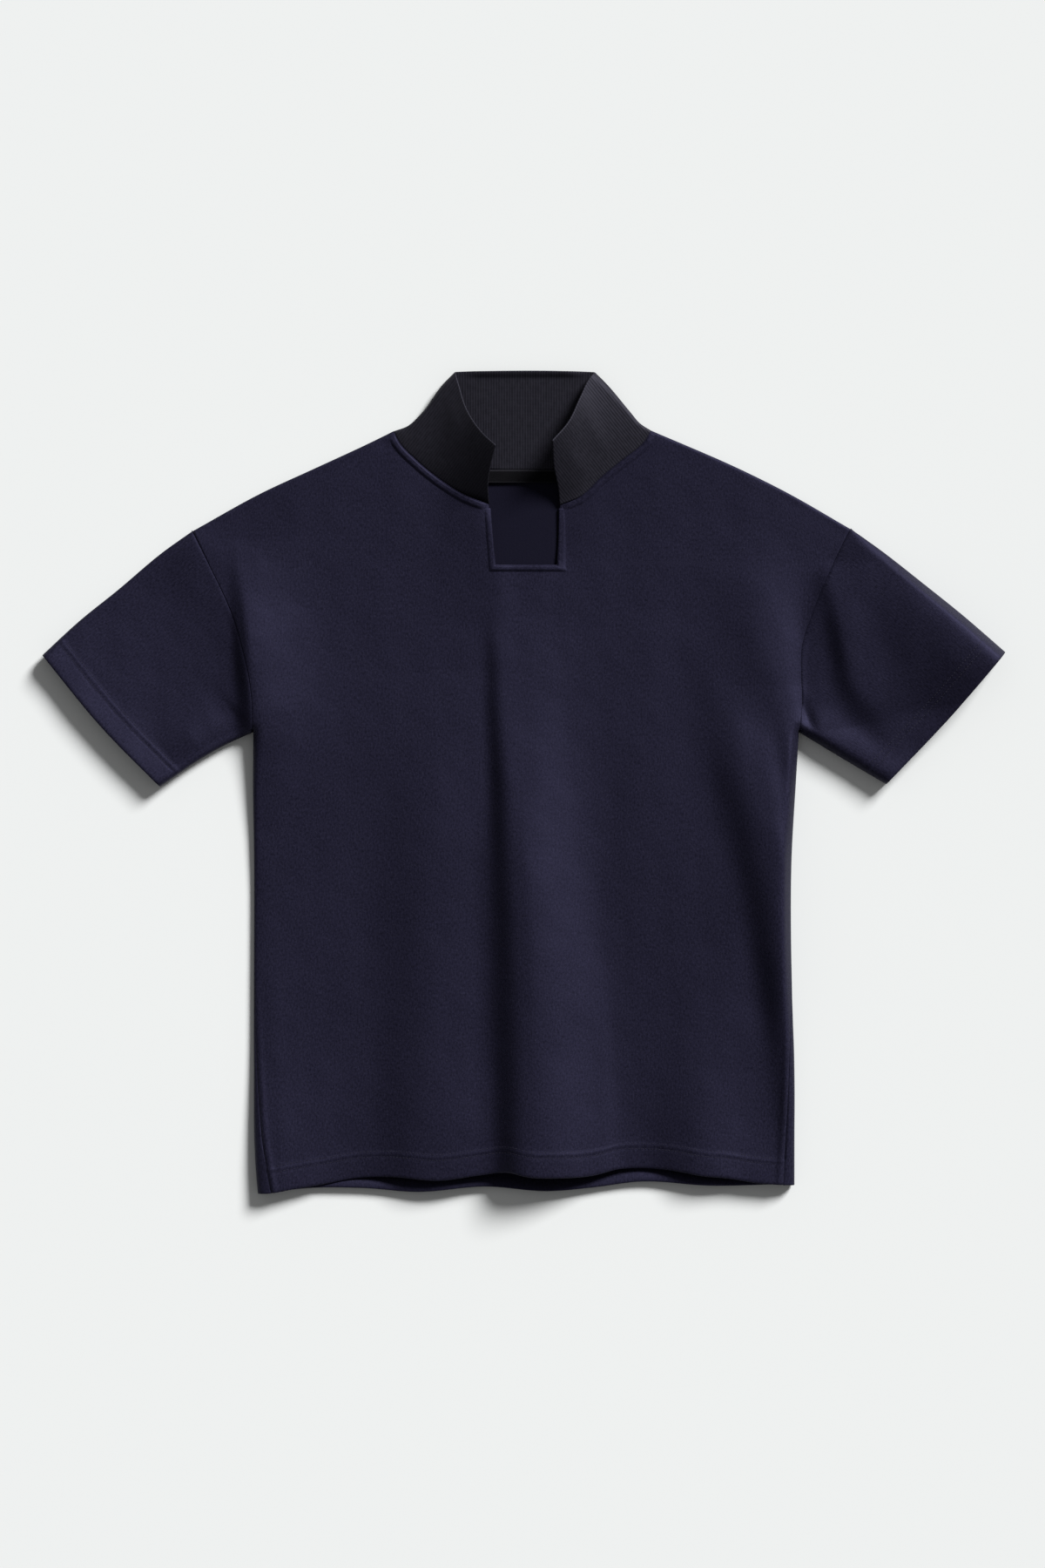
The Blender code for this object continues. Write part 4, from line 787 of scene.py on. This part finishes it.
# The hem's outside: a groove at each needle row, a low swell between the rows and a step where the band ends.
def hemRelief(points, aboveHem):
    a, b = body["stitchLines"]
    return raised(points, -body["needleDepth"] * bell(aboveHem - a, body["needleReach"])
                  - body["needleDepth"] * bell(aboveHem - b, body["needleReach"])
                  + body["welt"] * bell(aboveHem - (a + b) / 2, body["weltReach"])
                  + body["bandStep"] * smoothStep((body["bandDepth"] + 1.5 - aboveHem) / 3)
                  - body["edgeDrop"] * smoothStep((body["edgeReach"] - aboveHem) / body["edgeReach"])**2)


# A low swell beside each side seam, a * exp(-((d - r) / r) ** 2), over a groove on the seam itself.
def seamSwell(points, x, y):
    fade = smoothStep((body["swellTopY"] - y) / body["swellFade"])
    for distance in (x - x[:, :1], x[:, -1:] - x):
        points[..., 2] += fade * (body["seamSwell"] * bell(distance - body["swellReach"], body["swellReach"])
                                  - body["seamGroove"] * bell(distance, body["grooveReach"]))
    return points


# The body's wall, thicker in the turned-up band.
def bodyWall(points, uv):
    thick = body["wall"] + (body["hemWall"] - body["wall"]) * smoothStep((body["bandDepth"] - uv[:, 1]) / 2)
    return np.where(points[:, 1] < baseY + body["wallTop"], thick, body["wall"])


def bodyRim(points, uv):
    return np.where(points[:, 1] < baseY + body["rimTop"], body["hemRim"], body["seamRim"])


def makeFront():
    near, middle, far = body["columns"]
    x, y = settled(frontHem, frontColumns)
    low = np.stack([x, y], -1)
    left = halfYoke(low[-1, :near + 1], 0)
    right = halfYoke(low[-1, near + middle:][::-1], 1)[:, ::-1]
    aboveHem = y - columnsAt(frontHem, x)[0]
    (points, uv), *yokes = [laidGrid(plan, 1.0) for plan in (low, left, right)]
    uv[..., 1] = aboveHem
    grids = [(seamSwell(hemRelief(points, aboveHem), x, y), uv), *yokes]
    return newPiece("front_cloth", *clothShell(grids, bodyWall, bodyRim), navyCloth, "front")


# The back's columns: round each folded edge to its seam on the upper side, and flat between.
def backColumns(y):
    count, across = body["backWrap"], body["backAcross"]
    y = np.broadcast_to(y, (len(y), 2 * count + across - 1))
    edges, seams = sideLines(y), np.maximum(columnsAt(sideSeam, y), 0)
    shares = np.linspace(0, 1, count)
    sides = []
    for index, part, inward in ((0, slice(0, count), 1), (1, slice(-count, None), -1)):
        edge = edges[index][:, part]
        radius = edgeRadius(edge, y[:, part])
        start, stop = seams[index][:, part] - cloth["seamGap"] / 2, -radius * np.pi / 2
        arc = start + shares[::inward] * (stop - start)
        sides.append((edge + inward * rolled(arc, radius), np.where(arc > 0, 1.0, -1.0)))
    (xLeft, sideLeft), (xRight, sideRight) = sides
    xMiddle = xLeft[:, -1:] + crowded(across, 0.3)[1:-1] * (xRight[:, :1] - xLeft[:, -1:])
    return (np.concatenate([xLeft, xMiddle, xRight], axis=1),
            np.concatenate([sideLeft, -np.ones_like(xMiddle), sideRight], axis=1))


def makeBack():
    x, y = settled(backHem, lambda y: backColumns(y)[0])
    side = np.where(y >= underarmY, -1.0, backColumns(y)[1])
    low = np.stack([x, y], -1)
    (leftShoulder, leftSeam), (rightShoulder, rightSeam) = shoulderAndArmhole(0), shoulderAndArmhole(1)
    neck = body["backNeck"]
    beside = len(low[-1]) - neck - 1
    top = np.concatenate([along(leftShoulder, crowded(beside // 2, 0.3)),
                          along(necklineBack, crowded(neck, 0.2)[1:]),
                          along(rightShoulder[::-1], crowded(beside - beside // 2, 0.3)[1:])])
    yoke = laidGrid(yokeGrid(low[-1], leftSeam, rightSeam, top), -1.0)
    points, uv = laidGrid(low, side)
    aboveHem = y - columnsAt(backHem, x)[0]
    uv[..., 1] = aboveHem
    lift = (body["backLift"] * smoothStep(1 - aboveHem / body["backLiftReach"])
            * smoothStep((body["backLiftEnd"] - np.abs(x)) / body["backLiftFade"]))
    points[..., 2] += np.where(side < 0, lift, 0)
    grids = [(points, uv), yoke]
    return newPiece("back_cloth", *clothShell(grids, bodyWall, bodyRim, flip=True), navyCloth, "back")


front = makeFront()
print("front:", len(front.data.polygons))
back = makeBack()
print("back:", len(back.data.polygons))


# sleeves

sleeve = {"rows": 64, "bandRows": 20, "band": 27.0, "around": 118, "stitchLines": (17.0, 22.2),
          "besideSeam": (0.0, 0.5, 1.2, 2.2), "firstRow": 4.0, "seamDip": 0.5, "dipReach": 1.3,
          "hemWall": 0.55, "rimTop": 5.0, "reliefReach": 60.0, "foreshortening": 0.82}


# The upper layer in plan: each row runs from the upper edge to the lower one, turned down at both.
def sleevePlan(outline, side, rowShares, aroundShares):
    topY = (shoulderLeft, shoulderRight)[side][0][1]
    seamY = np.concatenate([np.linspace(underarmY, notchY, 40), np.linspace(notchY, topY, 12)[1:]])
    seam = armholeAt(seamY, side, (-seamShift, seamShift)[side])[::-1]
    upper, lower = [seam[0]] + outline["upper"][1:], [seam[-1]] + outline["lower"][1:]
    start, stop = along(upper, rowShares), along(lower, rowShares)
    middle = (start + stop) / 2
    radius = edgeRadius(middle[:, 0], middle[:, 1])[:, None]
    across = rolledShares(aroundShares, np.linalg.norm(stop - start, axis=1)[:, None], radius)
    borders = (seam, outline["cuff"], upper, lower)
    return between(*(curve(points) for points in borders), across, rowShares[:, None])


def sleeveWall(points, uv):
    return body["wall"] + sleeve["hemWall"] * smoothStep((body["bandDepth"] - uv[:, 1]) / 2)


def sleeveRim(points, uv):
    return np.where(uv[:, 1] < sleeve["rimTop"], body["hemRim"], body["seamRim"])


# A flattened tube: each ring runs along the upper layer, round the lower edge and back underneath.
def makeSleeve(name, outline, side):
    length = np.linalg.norm(np.array(outline["upper"][0]) - outline["upper"][-1])
    band = 1 - sleeve["band"] / (length * sleeve["foreshortening"])
    rowShares = np.concatenate([np.array(sleeve["besideSeam"]) / length,
                                np.linspace(sleeve["firstRow"] / length, band, sleeve["rows"] - 4),
                                np.linspace(band, 1, sleeve["bandRows"] + 1)[1:]])
    plan = sleevePlan(outline, side, rowShares, crowded(sleeve["around"], 0.7))
    above = np.ones(plan.shape[1])
    above[[0, -1]] = 0.0
    x, y = plan[..., 0], plan[..., 1]
    toCuff = nearestOn(x, y, along(outline["cuff"], np.linspace(0, 1, 24)))[0]
    laid = clothHeight(x, y, above)
    top = hemRelief(np.stack([x, y, laid], -1), toCuff + 100 * (toCuff > sleeve["reliefReach"]))
    # a dip along the armhole's seam
    top = raised(top, -sleeve["seamDip"] * bell(rowShares[:, None] * length + 0 * x, sleeve["dipReach"]))
    top[..., 2] = np.where(above > 0, top[..., 2], laid)
    under = np.stack([x, y, clothHeight(x, y, -above)], -1)
    ring = np.concatenate([top, under[:, -2:0:-1]], axis=1)
    u = np.cumsum(np.linalg.norm(np.diff(ring, axis=1, prepend=ring[:, :1]), axis=2), axis=1)
    down = np.concatenate([toCuff, toCuff[:, -2:0:-1]], axis=1)
    shell = clothShell([(ring, np.stack([u, down], -1))], sleeveWall, sleeveRim, closed=True, flip=side == 0)
    return newPiece(name + "_cloth", *shell, navyCloth, name)


leftSleeve = makeSleeve("sleeve_left", sleeveLeft, 0)
rightSleeve = makeSleeve("sleeve_right", sleeveRight, 1)
print("sleeves:", len(leftSleeve.data.polygons), len(rightSleeve.data.polygons))


# collar

collar = {
    "depth": 84.0, "seamGap": 0.5, "tipHeight": 40.0, "foldHeight": 12.0, "risePower": (0.9, 1.3),
    "spanPower": 1.2, "wall": 1.5, "edgeRim": 0.75, "seamRim": 0.4, "edgeBand": 80.0,
    "columns": (100, 150), "rows": 44, "curl": 2.0, "curlReach": 6.0, "curlInset": 20.0, "backRise": 5.0,
    "backPower": 1.2, "evenTo": 0.94,
    "foldLeft": [cloth["neckLeft"], (-99.4, 306.8), (-88.1, 317.3), (-69.4, 342.4), (-59.6, 352.4)],
    "foldRight": [cloth["neckRight"], (100.1, 309), (91.7, 318.8), (70.7, 343.5), (61.9, 352.2)],
    "endLeft": [necklineLeft[-1], (-31.1, 254.3), (-29.6, 267.8), (-24.8, 288)],
    "endRight": [necklineRight[-1], (30.4, 252), (26.6, 271.5), (25.5, 291.8)],
    "flapLeft": [(-24.8, 288), (-36.4, 299.3), (-49.9, 320.3), (-56.6, 342), (-59.6, 352.4)],
    "flapRight": [(25.5, 291.8), (39.2, 308.3), (49.7, 331), (57.4, 347), (61.9, 352.2)],
    "backEdge": [(-59.6, 352.4), (-20, 353.2), (25, 353.2), (61.9, 352.2)],
}
# soft ridges on the two flaps:  x, y, height, spread to the left, spread to the right
flapFolds = [
    [(-66, 330, 0, 5, 6), (-60, 314, 0.8, 5, 7), (-62, 296, 0.7, 6, 8), (-70, 278, 0, 6, 7)],
    [(-40, 304, 0, 5, 5), (-45, 288, -0.8, 6, 6), (-52, 272, 0, 6, 6)],
    [(52, 334, 0, 5, 5), (54, 319, 0.6, 5.5, 6), (62, 298, 0.8, 6, 7), (70, 280, 0, 6, 6)],
    [(36, 292, 0, 5, 6), (44, 276, 0.7, 6, 6), (56, 262, 0, 5, 5)],
]
flapPaths = [(along(rows, np.linspace(0, 1, 16)), soft) for rows in flapFolds]


# Shares of the depth, from the seam's gap up, closer at the free edge; and the side folds' height at each.
def collarRows():
    even = np.linspace(0, 1, collar["rows"] - 5)[:-1] * collar["evenTo"]
    up = np.concatenate([even, np.linspace(collar["evenTo"], 1, 7)])[:, None]
    up[0] = collar["seamGap"] / collar["depth"]
    return up, cloth["loft"] + (collar["foldHeight"] - cloth["loft"]) * up


def widthBetween(left, right, up):
    return np.linalg.norm(along(right, up[:, 0]) - along(left, up[:, 0]), axis=1)[:, None]


# Half of the upper layer, from the front end to the side fold. It rises from its seam to the free edge.
def collarFlap(end, fold, neckline, freeEdge, risePower):
    up, tall = collarRows()
    radius = cloth["edgeRound"] * tall
    width = widthBetween(fold, end, up)
    shares = np.linspace(0, 1, collar["columns"][0] + 1)
    across = 1 - rolled((1 - shares) * unrolled(width, radius), radius) / width
    across[:, 0] = 0.0
    plan = between(*(curve(points) for points in (neckline[::-1], freeEdge, end, fold)), across, up)
    free = collar["tipHeight"] - collar["foldHeight"]
    free = collar["foldHeight"] + free * (1 - across)**collar["spanPower"]
    top = cloth["loft"] + (free - cloth["loft"]) * up**risePower
    height = tall / 2 + (top - tall / 2) * turned((1 - across) * width, radius)
    height += foldHeight(plan[..., 0], plan[..., 1], flapPaths)
    return np.concatenate([plan, height[..., None]], axis=-1)


# How far each place of a flap stands along the straight line from end to end of its seam: the flap's ribs
# stand square to that line.
def seamPlace(points, neckline):
    run = np.subtract(neckline[-1], neckline[0])
    return (points[..., :2] - neckline[0]) @ (run / np.linalg.norm(run))


# The back half, between the side folds: it rises as a power of the depth, and its free edge curls up.
def collarBack():
    up, tall = collarRows()
    radius = cloth["edgeRound"] * tall
    width = widthBetween(collar["foldLeft"], collar["foldRight"], up)
    across = rolledShares(np.linspace(0, 1, collar["columns"][1] + 1), width, radius)
    borders = (necklineBack, collar["backEdge"], collar["foldLeft"], collar["foldRight"])
    plan = between(*(curve(points) for points in borders), across, up)
    fromEdge = np.minimum(across, 1 - across) * width
    rise = collar["backRise"] * up**collar["backPower"]
    height = rise + (tall / 2 - rise) * (1 - turned(fromEdge, radius))
    curl = collar["curl"] * smoothStep(1 - (1 - up) * collar["depth"] / collar["curlReach"])
    height = height + curl * smoothStep((fromEdge - radius) / collar["curlInset"])
    return np.concatenate([plan, height[..., None]], axis=-1)


def collarRim(points, uv):
    return np.where(uv[:, 1] > collar["edgeBand"], collar["edgeRim"], collar["seamRim"])


def makeCollar():
    left, right = (
        collarFlap(collar["end" + side], collar["fold" + side], neckline, collar["flap" + side], power)
        for side, neckline, power in zip(("Left", "Right"), (necklineLeft, necklineRight),
                                         collar["risePower"]))
    backHalf = collarBack()
    points = np.concatenate([left[:, :-1], backHalf, right[:, -2::-1]], axis=1)
    place = np.concatenate([seamPlace(left, necklineLeft)[:, :-1], backHalf[..., 0],
                            seamPlace(right, necklineRight)[:, -2::-1]], axis=1)
    uv = np.stack(np.broadcast_arrays(place, collarRows()[0] * collar["depth"]), -1)
    shell = clothShell([(points, uv)], collar["wall"], collarRim, flip=True)
    return newPiece("collar_cloth", *shell, ribCloth, "collar")


collarPiece = makeCollar()
print("collar:", len(collarPiece.data.polygons))


# trims that lie on the cloth

trim = {"sink": 0.15, "wall": 1.0, "rim": 0.1, "slopeStep": 0.6}
binding = {"width": 7.2, "inset": 0.3, "reach": (0.02, 0.985), "crown": (1.5, 0.9),
           "fadeIn": 0.08, "fadeOut": 0.06}
band = {"width": 6.6, "topY": 235.6, "topLeftX": -28.2, "topRightX": 30.4, "leftX": -24.0, "rightX": 28.9,
        "tail": 2.6, "crown": (1.0, 1.4, 0.5)}
label = {"width": 70.0, "depth": 10.7, "lift": 1.2, "slope": 1.3, "edge": 0.15, "edgeReach": 0.03,
         "wave": 0.12, "waveLength": 6.5, "wall": 0.7, "rim": 0.25}


# Places on the front, moved out along its slope.
def onFront(plan, lift):
    x, y = plan[..., 0], plan[..., 1]
    step = trim["slopeStep"]
    z = clothHeight(x, y, 1.0)
    slopeX = (clothHeight(x + step, y, 1.0) - clothHeight(x - step, y, 1.0)) / (2 * step)
    slopeY = (clothHeight(x, y + step, 1.0) - clothHeight(x, y - step, 1.0)) / (2 * step)
    normal = unit(np.stack([-slopeX, -slopeY, np.ones_like(x)], -1))
    return np.stack([x, y, z], -1) + normal * np.asarray(lift)[..., None]


# The direction square to a path in plan, on its right.
def besidePath(path):
    tangent = unit(np.gradient(path, axis=0))
    return np.stack([tangent[:, 1], -tangent[:, 0]], -1)


# A welt between two lines in plan. Its lift is a quarter round at the inner line, then it falls softly to the
# cloth at the outer one: sqrt(1 - (1 - 4 s) ** 2) up to a quarter, times 1 - smoothStep((s - 0.5) / 0.5).
def weltStrip(inner, outer, crown, columns=14):
    share = np.linspace(0, 1, columns + 1)[:, None]
    plan = (1 - share[..., None]) * inner + share[..., None] * outer
    profile = np.sqrt(1 - (1 - np.minimum(4 * share, 1))**2) * (1 - smoothStep((share - 0.5) / 0.5))
    points = onFront(plan, (crown + trim["sink"]) * profile - trim["sink"])
    width = np.linalg.norm(outer - inner, axis=1).mean()
    return points, np.stack(np.broadcast_arrays(share * width, runLength(inner)[None, :] + 100), -1)


# A welt beside the neckline; its crown fades at both ends.
def makeBinding(name, neckline, away, crown):
    path = along(neckline, np.linspace(*binding["reach"], 110))
    normal = away * besidePath(path)
    run = np.linspace(0, 1, len(path))
    crown = crown * smoothStep(run / binding["fadeIn"]) * smoothStep((1 - run) / binding["fadeOut"])
    inner, outer = (path + normal * out for out in (binding["inset"], binding["inset"] + binding["width"]))
    shell = clothShell([weltStrip(inner, outer, crown)], trim["wall"], trim["rim"], flip=away > 0)
    return newPiece(name + "_cloth", *shell, navyCloth, name)


# A welt down the notch's left side, across its foot and up its right side.
def makeBand():
    shares = np.linspace(0, 1, 41)
    lines = []
    for out, topOut, tail in ((cloth["seamGap"], 0.0, 0.0), (band["width"], band["width"], band["tail"])):
        footY = notchY - out
        corners = np.array([(band["topLeftX"] - topOut, band["topY"]), (band["leftX"] - out, footY),
                            (band["rightX"] + out + tail, footY), (band["topRightX"] + topOut, band["topY"])])
        sides = [a + t * (b - a) for a, b in zip(corners[:-1], corners[1:]) for t in shares[:-1]]
        lines.append(np.array(sides + [corners[-1]]))
    # the crown of the left side, the foot and the right side, eased from one to the next
    left, foot, right = band["crown"]
    crown = np.interp(np.linspace(0, 3, len(lines[0])), [0, 0.2, 0.9, 1.05, 1.95, 2.1, 2.8, 3],
                      [0, left, left, foot, foot, right, right, 0])
    shell = clothShell([weltStrip(*lines, crown)], trim["wall"], trim["rim"], flip=True)
    return newPiece("notch_band_cloth", *shell, navyCloth, "notch_band")


# A strip below the back's neckline: it slopes to its lower edge, and waves slightly there.
def makeLabel():
    topY = necklineBack[3][1] - cloth["seamGap"]
    across, down = np.linspace(-0.5, 0.5, 81), np.linspace(0, 1, 15)[:, None]
    x = across * label["width"] + 0 * down
    y = topY - label["depth"] * (1 - down) + 0 * x
    edge = bell((down - 0.5).clip(-0.5, 0.5)**2 - 0.25, label["edgeReach"])
    z = (body["wall"] + label["lift"] + label["slope"] * (1 - down) + label["edge"] * edge
         + label["wave"] * np.sin(x / label["waveLength"]) * (1 - down))
    uv = np.stack([x, y - topY + label["depth"]], -1)
    shell = clothShell([(np.stack([x, y, z], -1), uv)], label["wall"], label["rim"])
    return newPiece("neck_label_cloth", *shell, tapeCloth, "neck_label")


makeBinding("neck_binding_left", necklineLeft, 1, binding["crown"][0])
makeBinding("neck_binding_right", necklineRight, -1, binding["crown"][1])
makeBand()
makeLabel()
print("trims are made")


# stitches

stitch = {"pitch": 2.9, "length": 2.0, "radius": 0.33, "sink": 0.05, "lift": 0.02,
          "rings": (-1.0, -0.6, 0.6, 1.0), "ringSizes": (0.15, 0.95, 0.95, 0.15),
          "hemInset": (12, 10), "cuffReach": (0.035, 0.965)}


# One stitch is a spindle of four rings of six points, each a share of the radius. It repeats at each place.
def stitchRun(centres, directions, normals):
    t = np.array(stitch["rings"])
    ring = np.linspace(0, 2 * np.pi, 7)[:-1]
    size = stitch["radius"] * np.array(stitch["ringSizes"])
    side = np.cross(normals, directions)
    points = (centres[:, None, None] + directions[:, None, None] * (t[:, None, None] * stitch["length"] / 2)
              + side[:, None, None] * (size[:, None] * np.cos(ring))[..., None]
              + normals[:, None, None] * (size[:, None] * np.sin(ring))[..., None])
    ends = [[3, 2, 1, 0], [5, 4, 3, 0], [18, 19, 20, 21], [18, 21, 22, 23]]
    one = np.concatenate([quads(np.arange(24).reshape(4, 6), closed=True), ends])
    faces = (one[None] + 24 * np.arange(len(centres))[:, None, None]).reshape(-1, 4)
    uv = np.stack(np.broadcast_arrays(t[:, None] * stitch["length"], ring[None, :] * stitch["radius"]), -1)
    return points.reshape(-1, 3), faces, np.tile(uv.reshape(-1, 2), (len(centres), 1))


# Evenly spaced places on a path of points, with the path's direction there.
def spaced(path, pitch):
    run = runLength(path)
    at = np.arange(pitch / 2, run[-1], pitch)
    places, ahead, behind = (np.stack([np.interp(at + shift, run, path[:, k]) for k in range(3)], -1)
                             for shift in (0, 0.4, -0.4))
    return places, unit(ahead - behind)


# A line on the front at a set distance above the hem, as the rows of the front's own grid run.
def frontStitchPath(above):
    edge = columnsAt(sideEdge, -330.0)
    x = np.linspace(edge[0] + stitch["hemInset"][0], edge[1] - stitch["hemInset"][1], 600)
    hemY = columnsAt(frontHem, x)[0]
    y = hemY + above * (underarmY - hemY) / (underarmY - baseY)
    return onFront(np.stack([x, y], -1), np.full(len(x), stitch["lift"] + stitch["sink"]))


# A line on the sleeve at a set distance inside the cuff.
def cuffStitchPath(outline, above):
    cuff = along(outline["cuff"], np.linspace(*stitch["cuffReach"], 240))
    inward = besidePath(cuff) * (-1 if outline is sleeveLeft else 1)
    return onFront(cuff + inward * above, np.full(len(cuff), stitch["lift"] + stitch["sink"]))


def makeStitches(name, paths):
    runs, start = [], 0
    for path in paths:
        centres, directions = spaced(path, stitch["pitch"])
        normals = unit(np.cross(directions, np.cross([0.0, 0.0, 1.0], directions)))
        points, faces, uv = stitchRun(centres, directions, normals)
        runs.append((points, faces + start, uv))
        start += len(points)
    points, faces, uv = (np.concatenate([run[k] for run in runs]) for k in range(3))
    return newPiece(name, points, faces, uv, np.zeros(len(points)), navyThread)


hemStitches = makeStitches("front_hem_stitches", [frontStitchPath(a) for a in body["stitchLines"]])
cuffStitches = [
    makeStitches(f"cuff_{side}_stitches", [cuffStitchPath(outline, a) for a in sleeve["stitchLines"]])
    for side, outline in (("left", sleeveLeft), ("right", sleeveRight))]
print("stitches are sewn")


# floor, light and camera

studio = {"sun": 5.55, "sunSize": 20.0, "toLight": (0.66, 0.75), "elevation": 31.0, "fill": 0.18,
          "floor": (0.79, 0.805, 0.80), "height": 6.0, "frameHeight": 1.35, "aim": (-0.0009, -0.0015)}

floorMesh = bpy.data.meshes.new("floor")
floorMesh.from_pydata([(-3, -3, 0), (3, -3, 0), (3, 3, 0), (-3, 3, 0)], [], [(0, 1, 2, 3)])
floor = placed("floor", floorMesh)
floorFinish = Finish("pale_floor", studio["floor"])
floorFinish.set(Base_Color=(*studio["floor"], 1), Roughness=1.0, Specular_IOR_Level=0.0)
floorMesh.materials.append(floorFinish.material)

sun = placed("key", bpy.data.lights.new("key", "SUN"))
sun.data.energy = studio["sun"]
sun.data.angle = math.radians(studio["sunSize"])
azimuth = math.atan2(studio["toLight"][0], -studio["toLight"][1])
sun.rotation_euler = (math.radians(90 - studio["elevation"]), 0, azimuth)

world = bpy.data.worlds.new("soft_room")
world.use_nodes = True
background = world.node_tree.nodes["Background"]
background.inputs["Color"].default_value = (1, 1, 1, 1)
background.inputs["Strength"].default_value = studio["fill"]
bpy.context.scene.world = world

camera = placed("camera", bpy.data.cameras.new("camera"))
camera.location = (*studio["aim"], studio["height"])
camera.data.lens = 36 * studio["height"] / studio["frameHeight"]
camera.data.clip_end = 30
bpy.context.scene.camera = camera
bpy.context.scene.view_settings.view_transform = "Standard"
print("the studio is set")
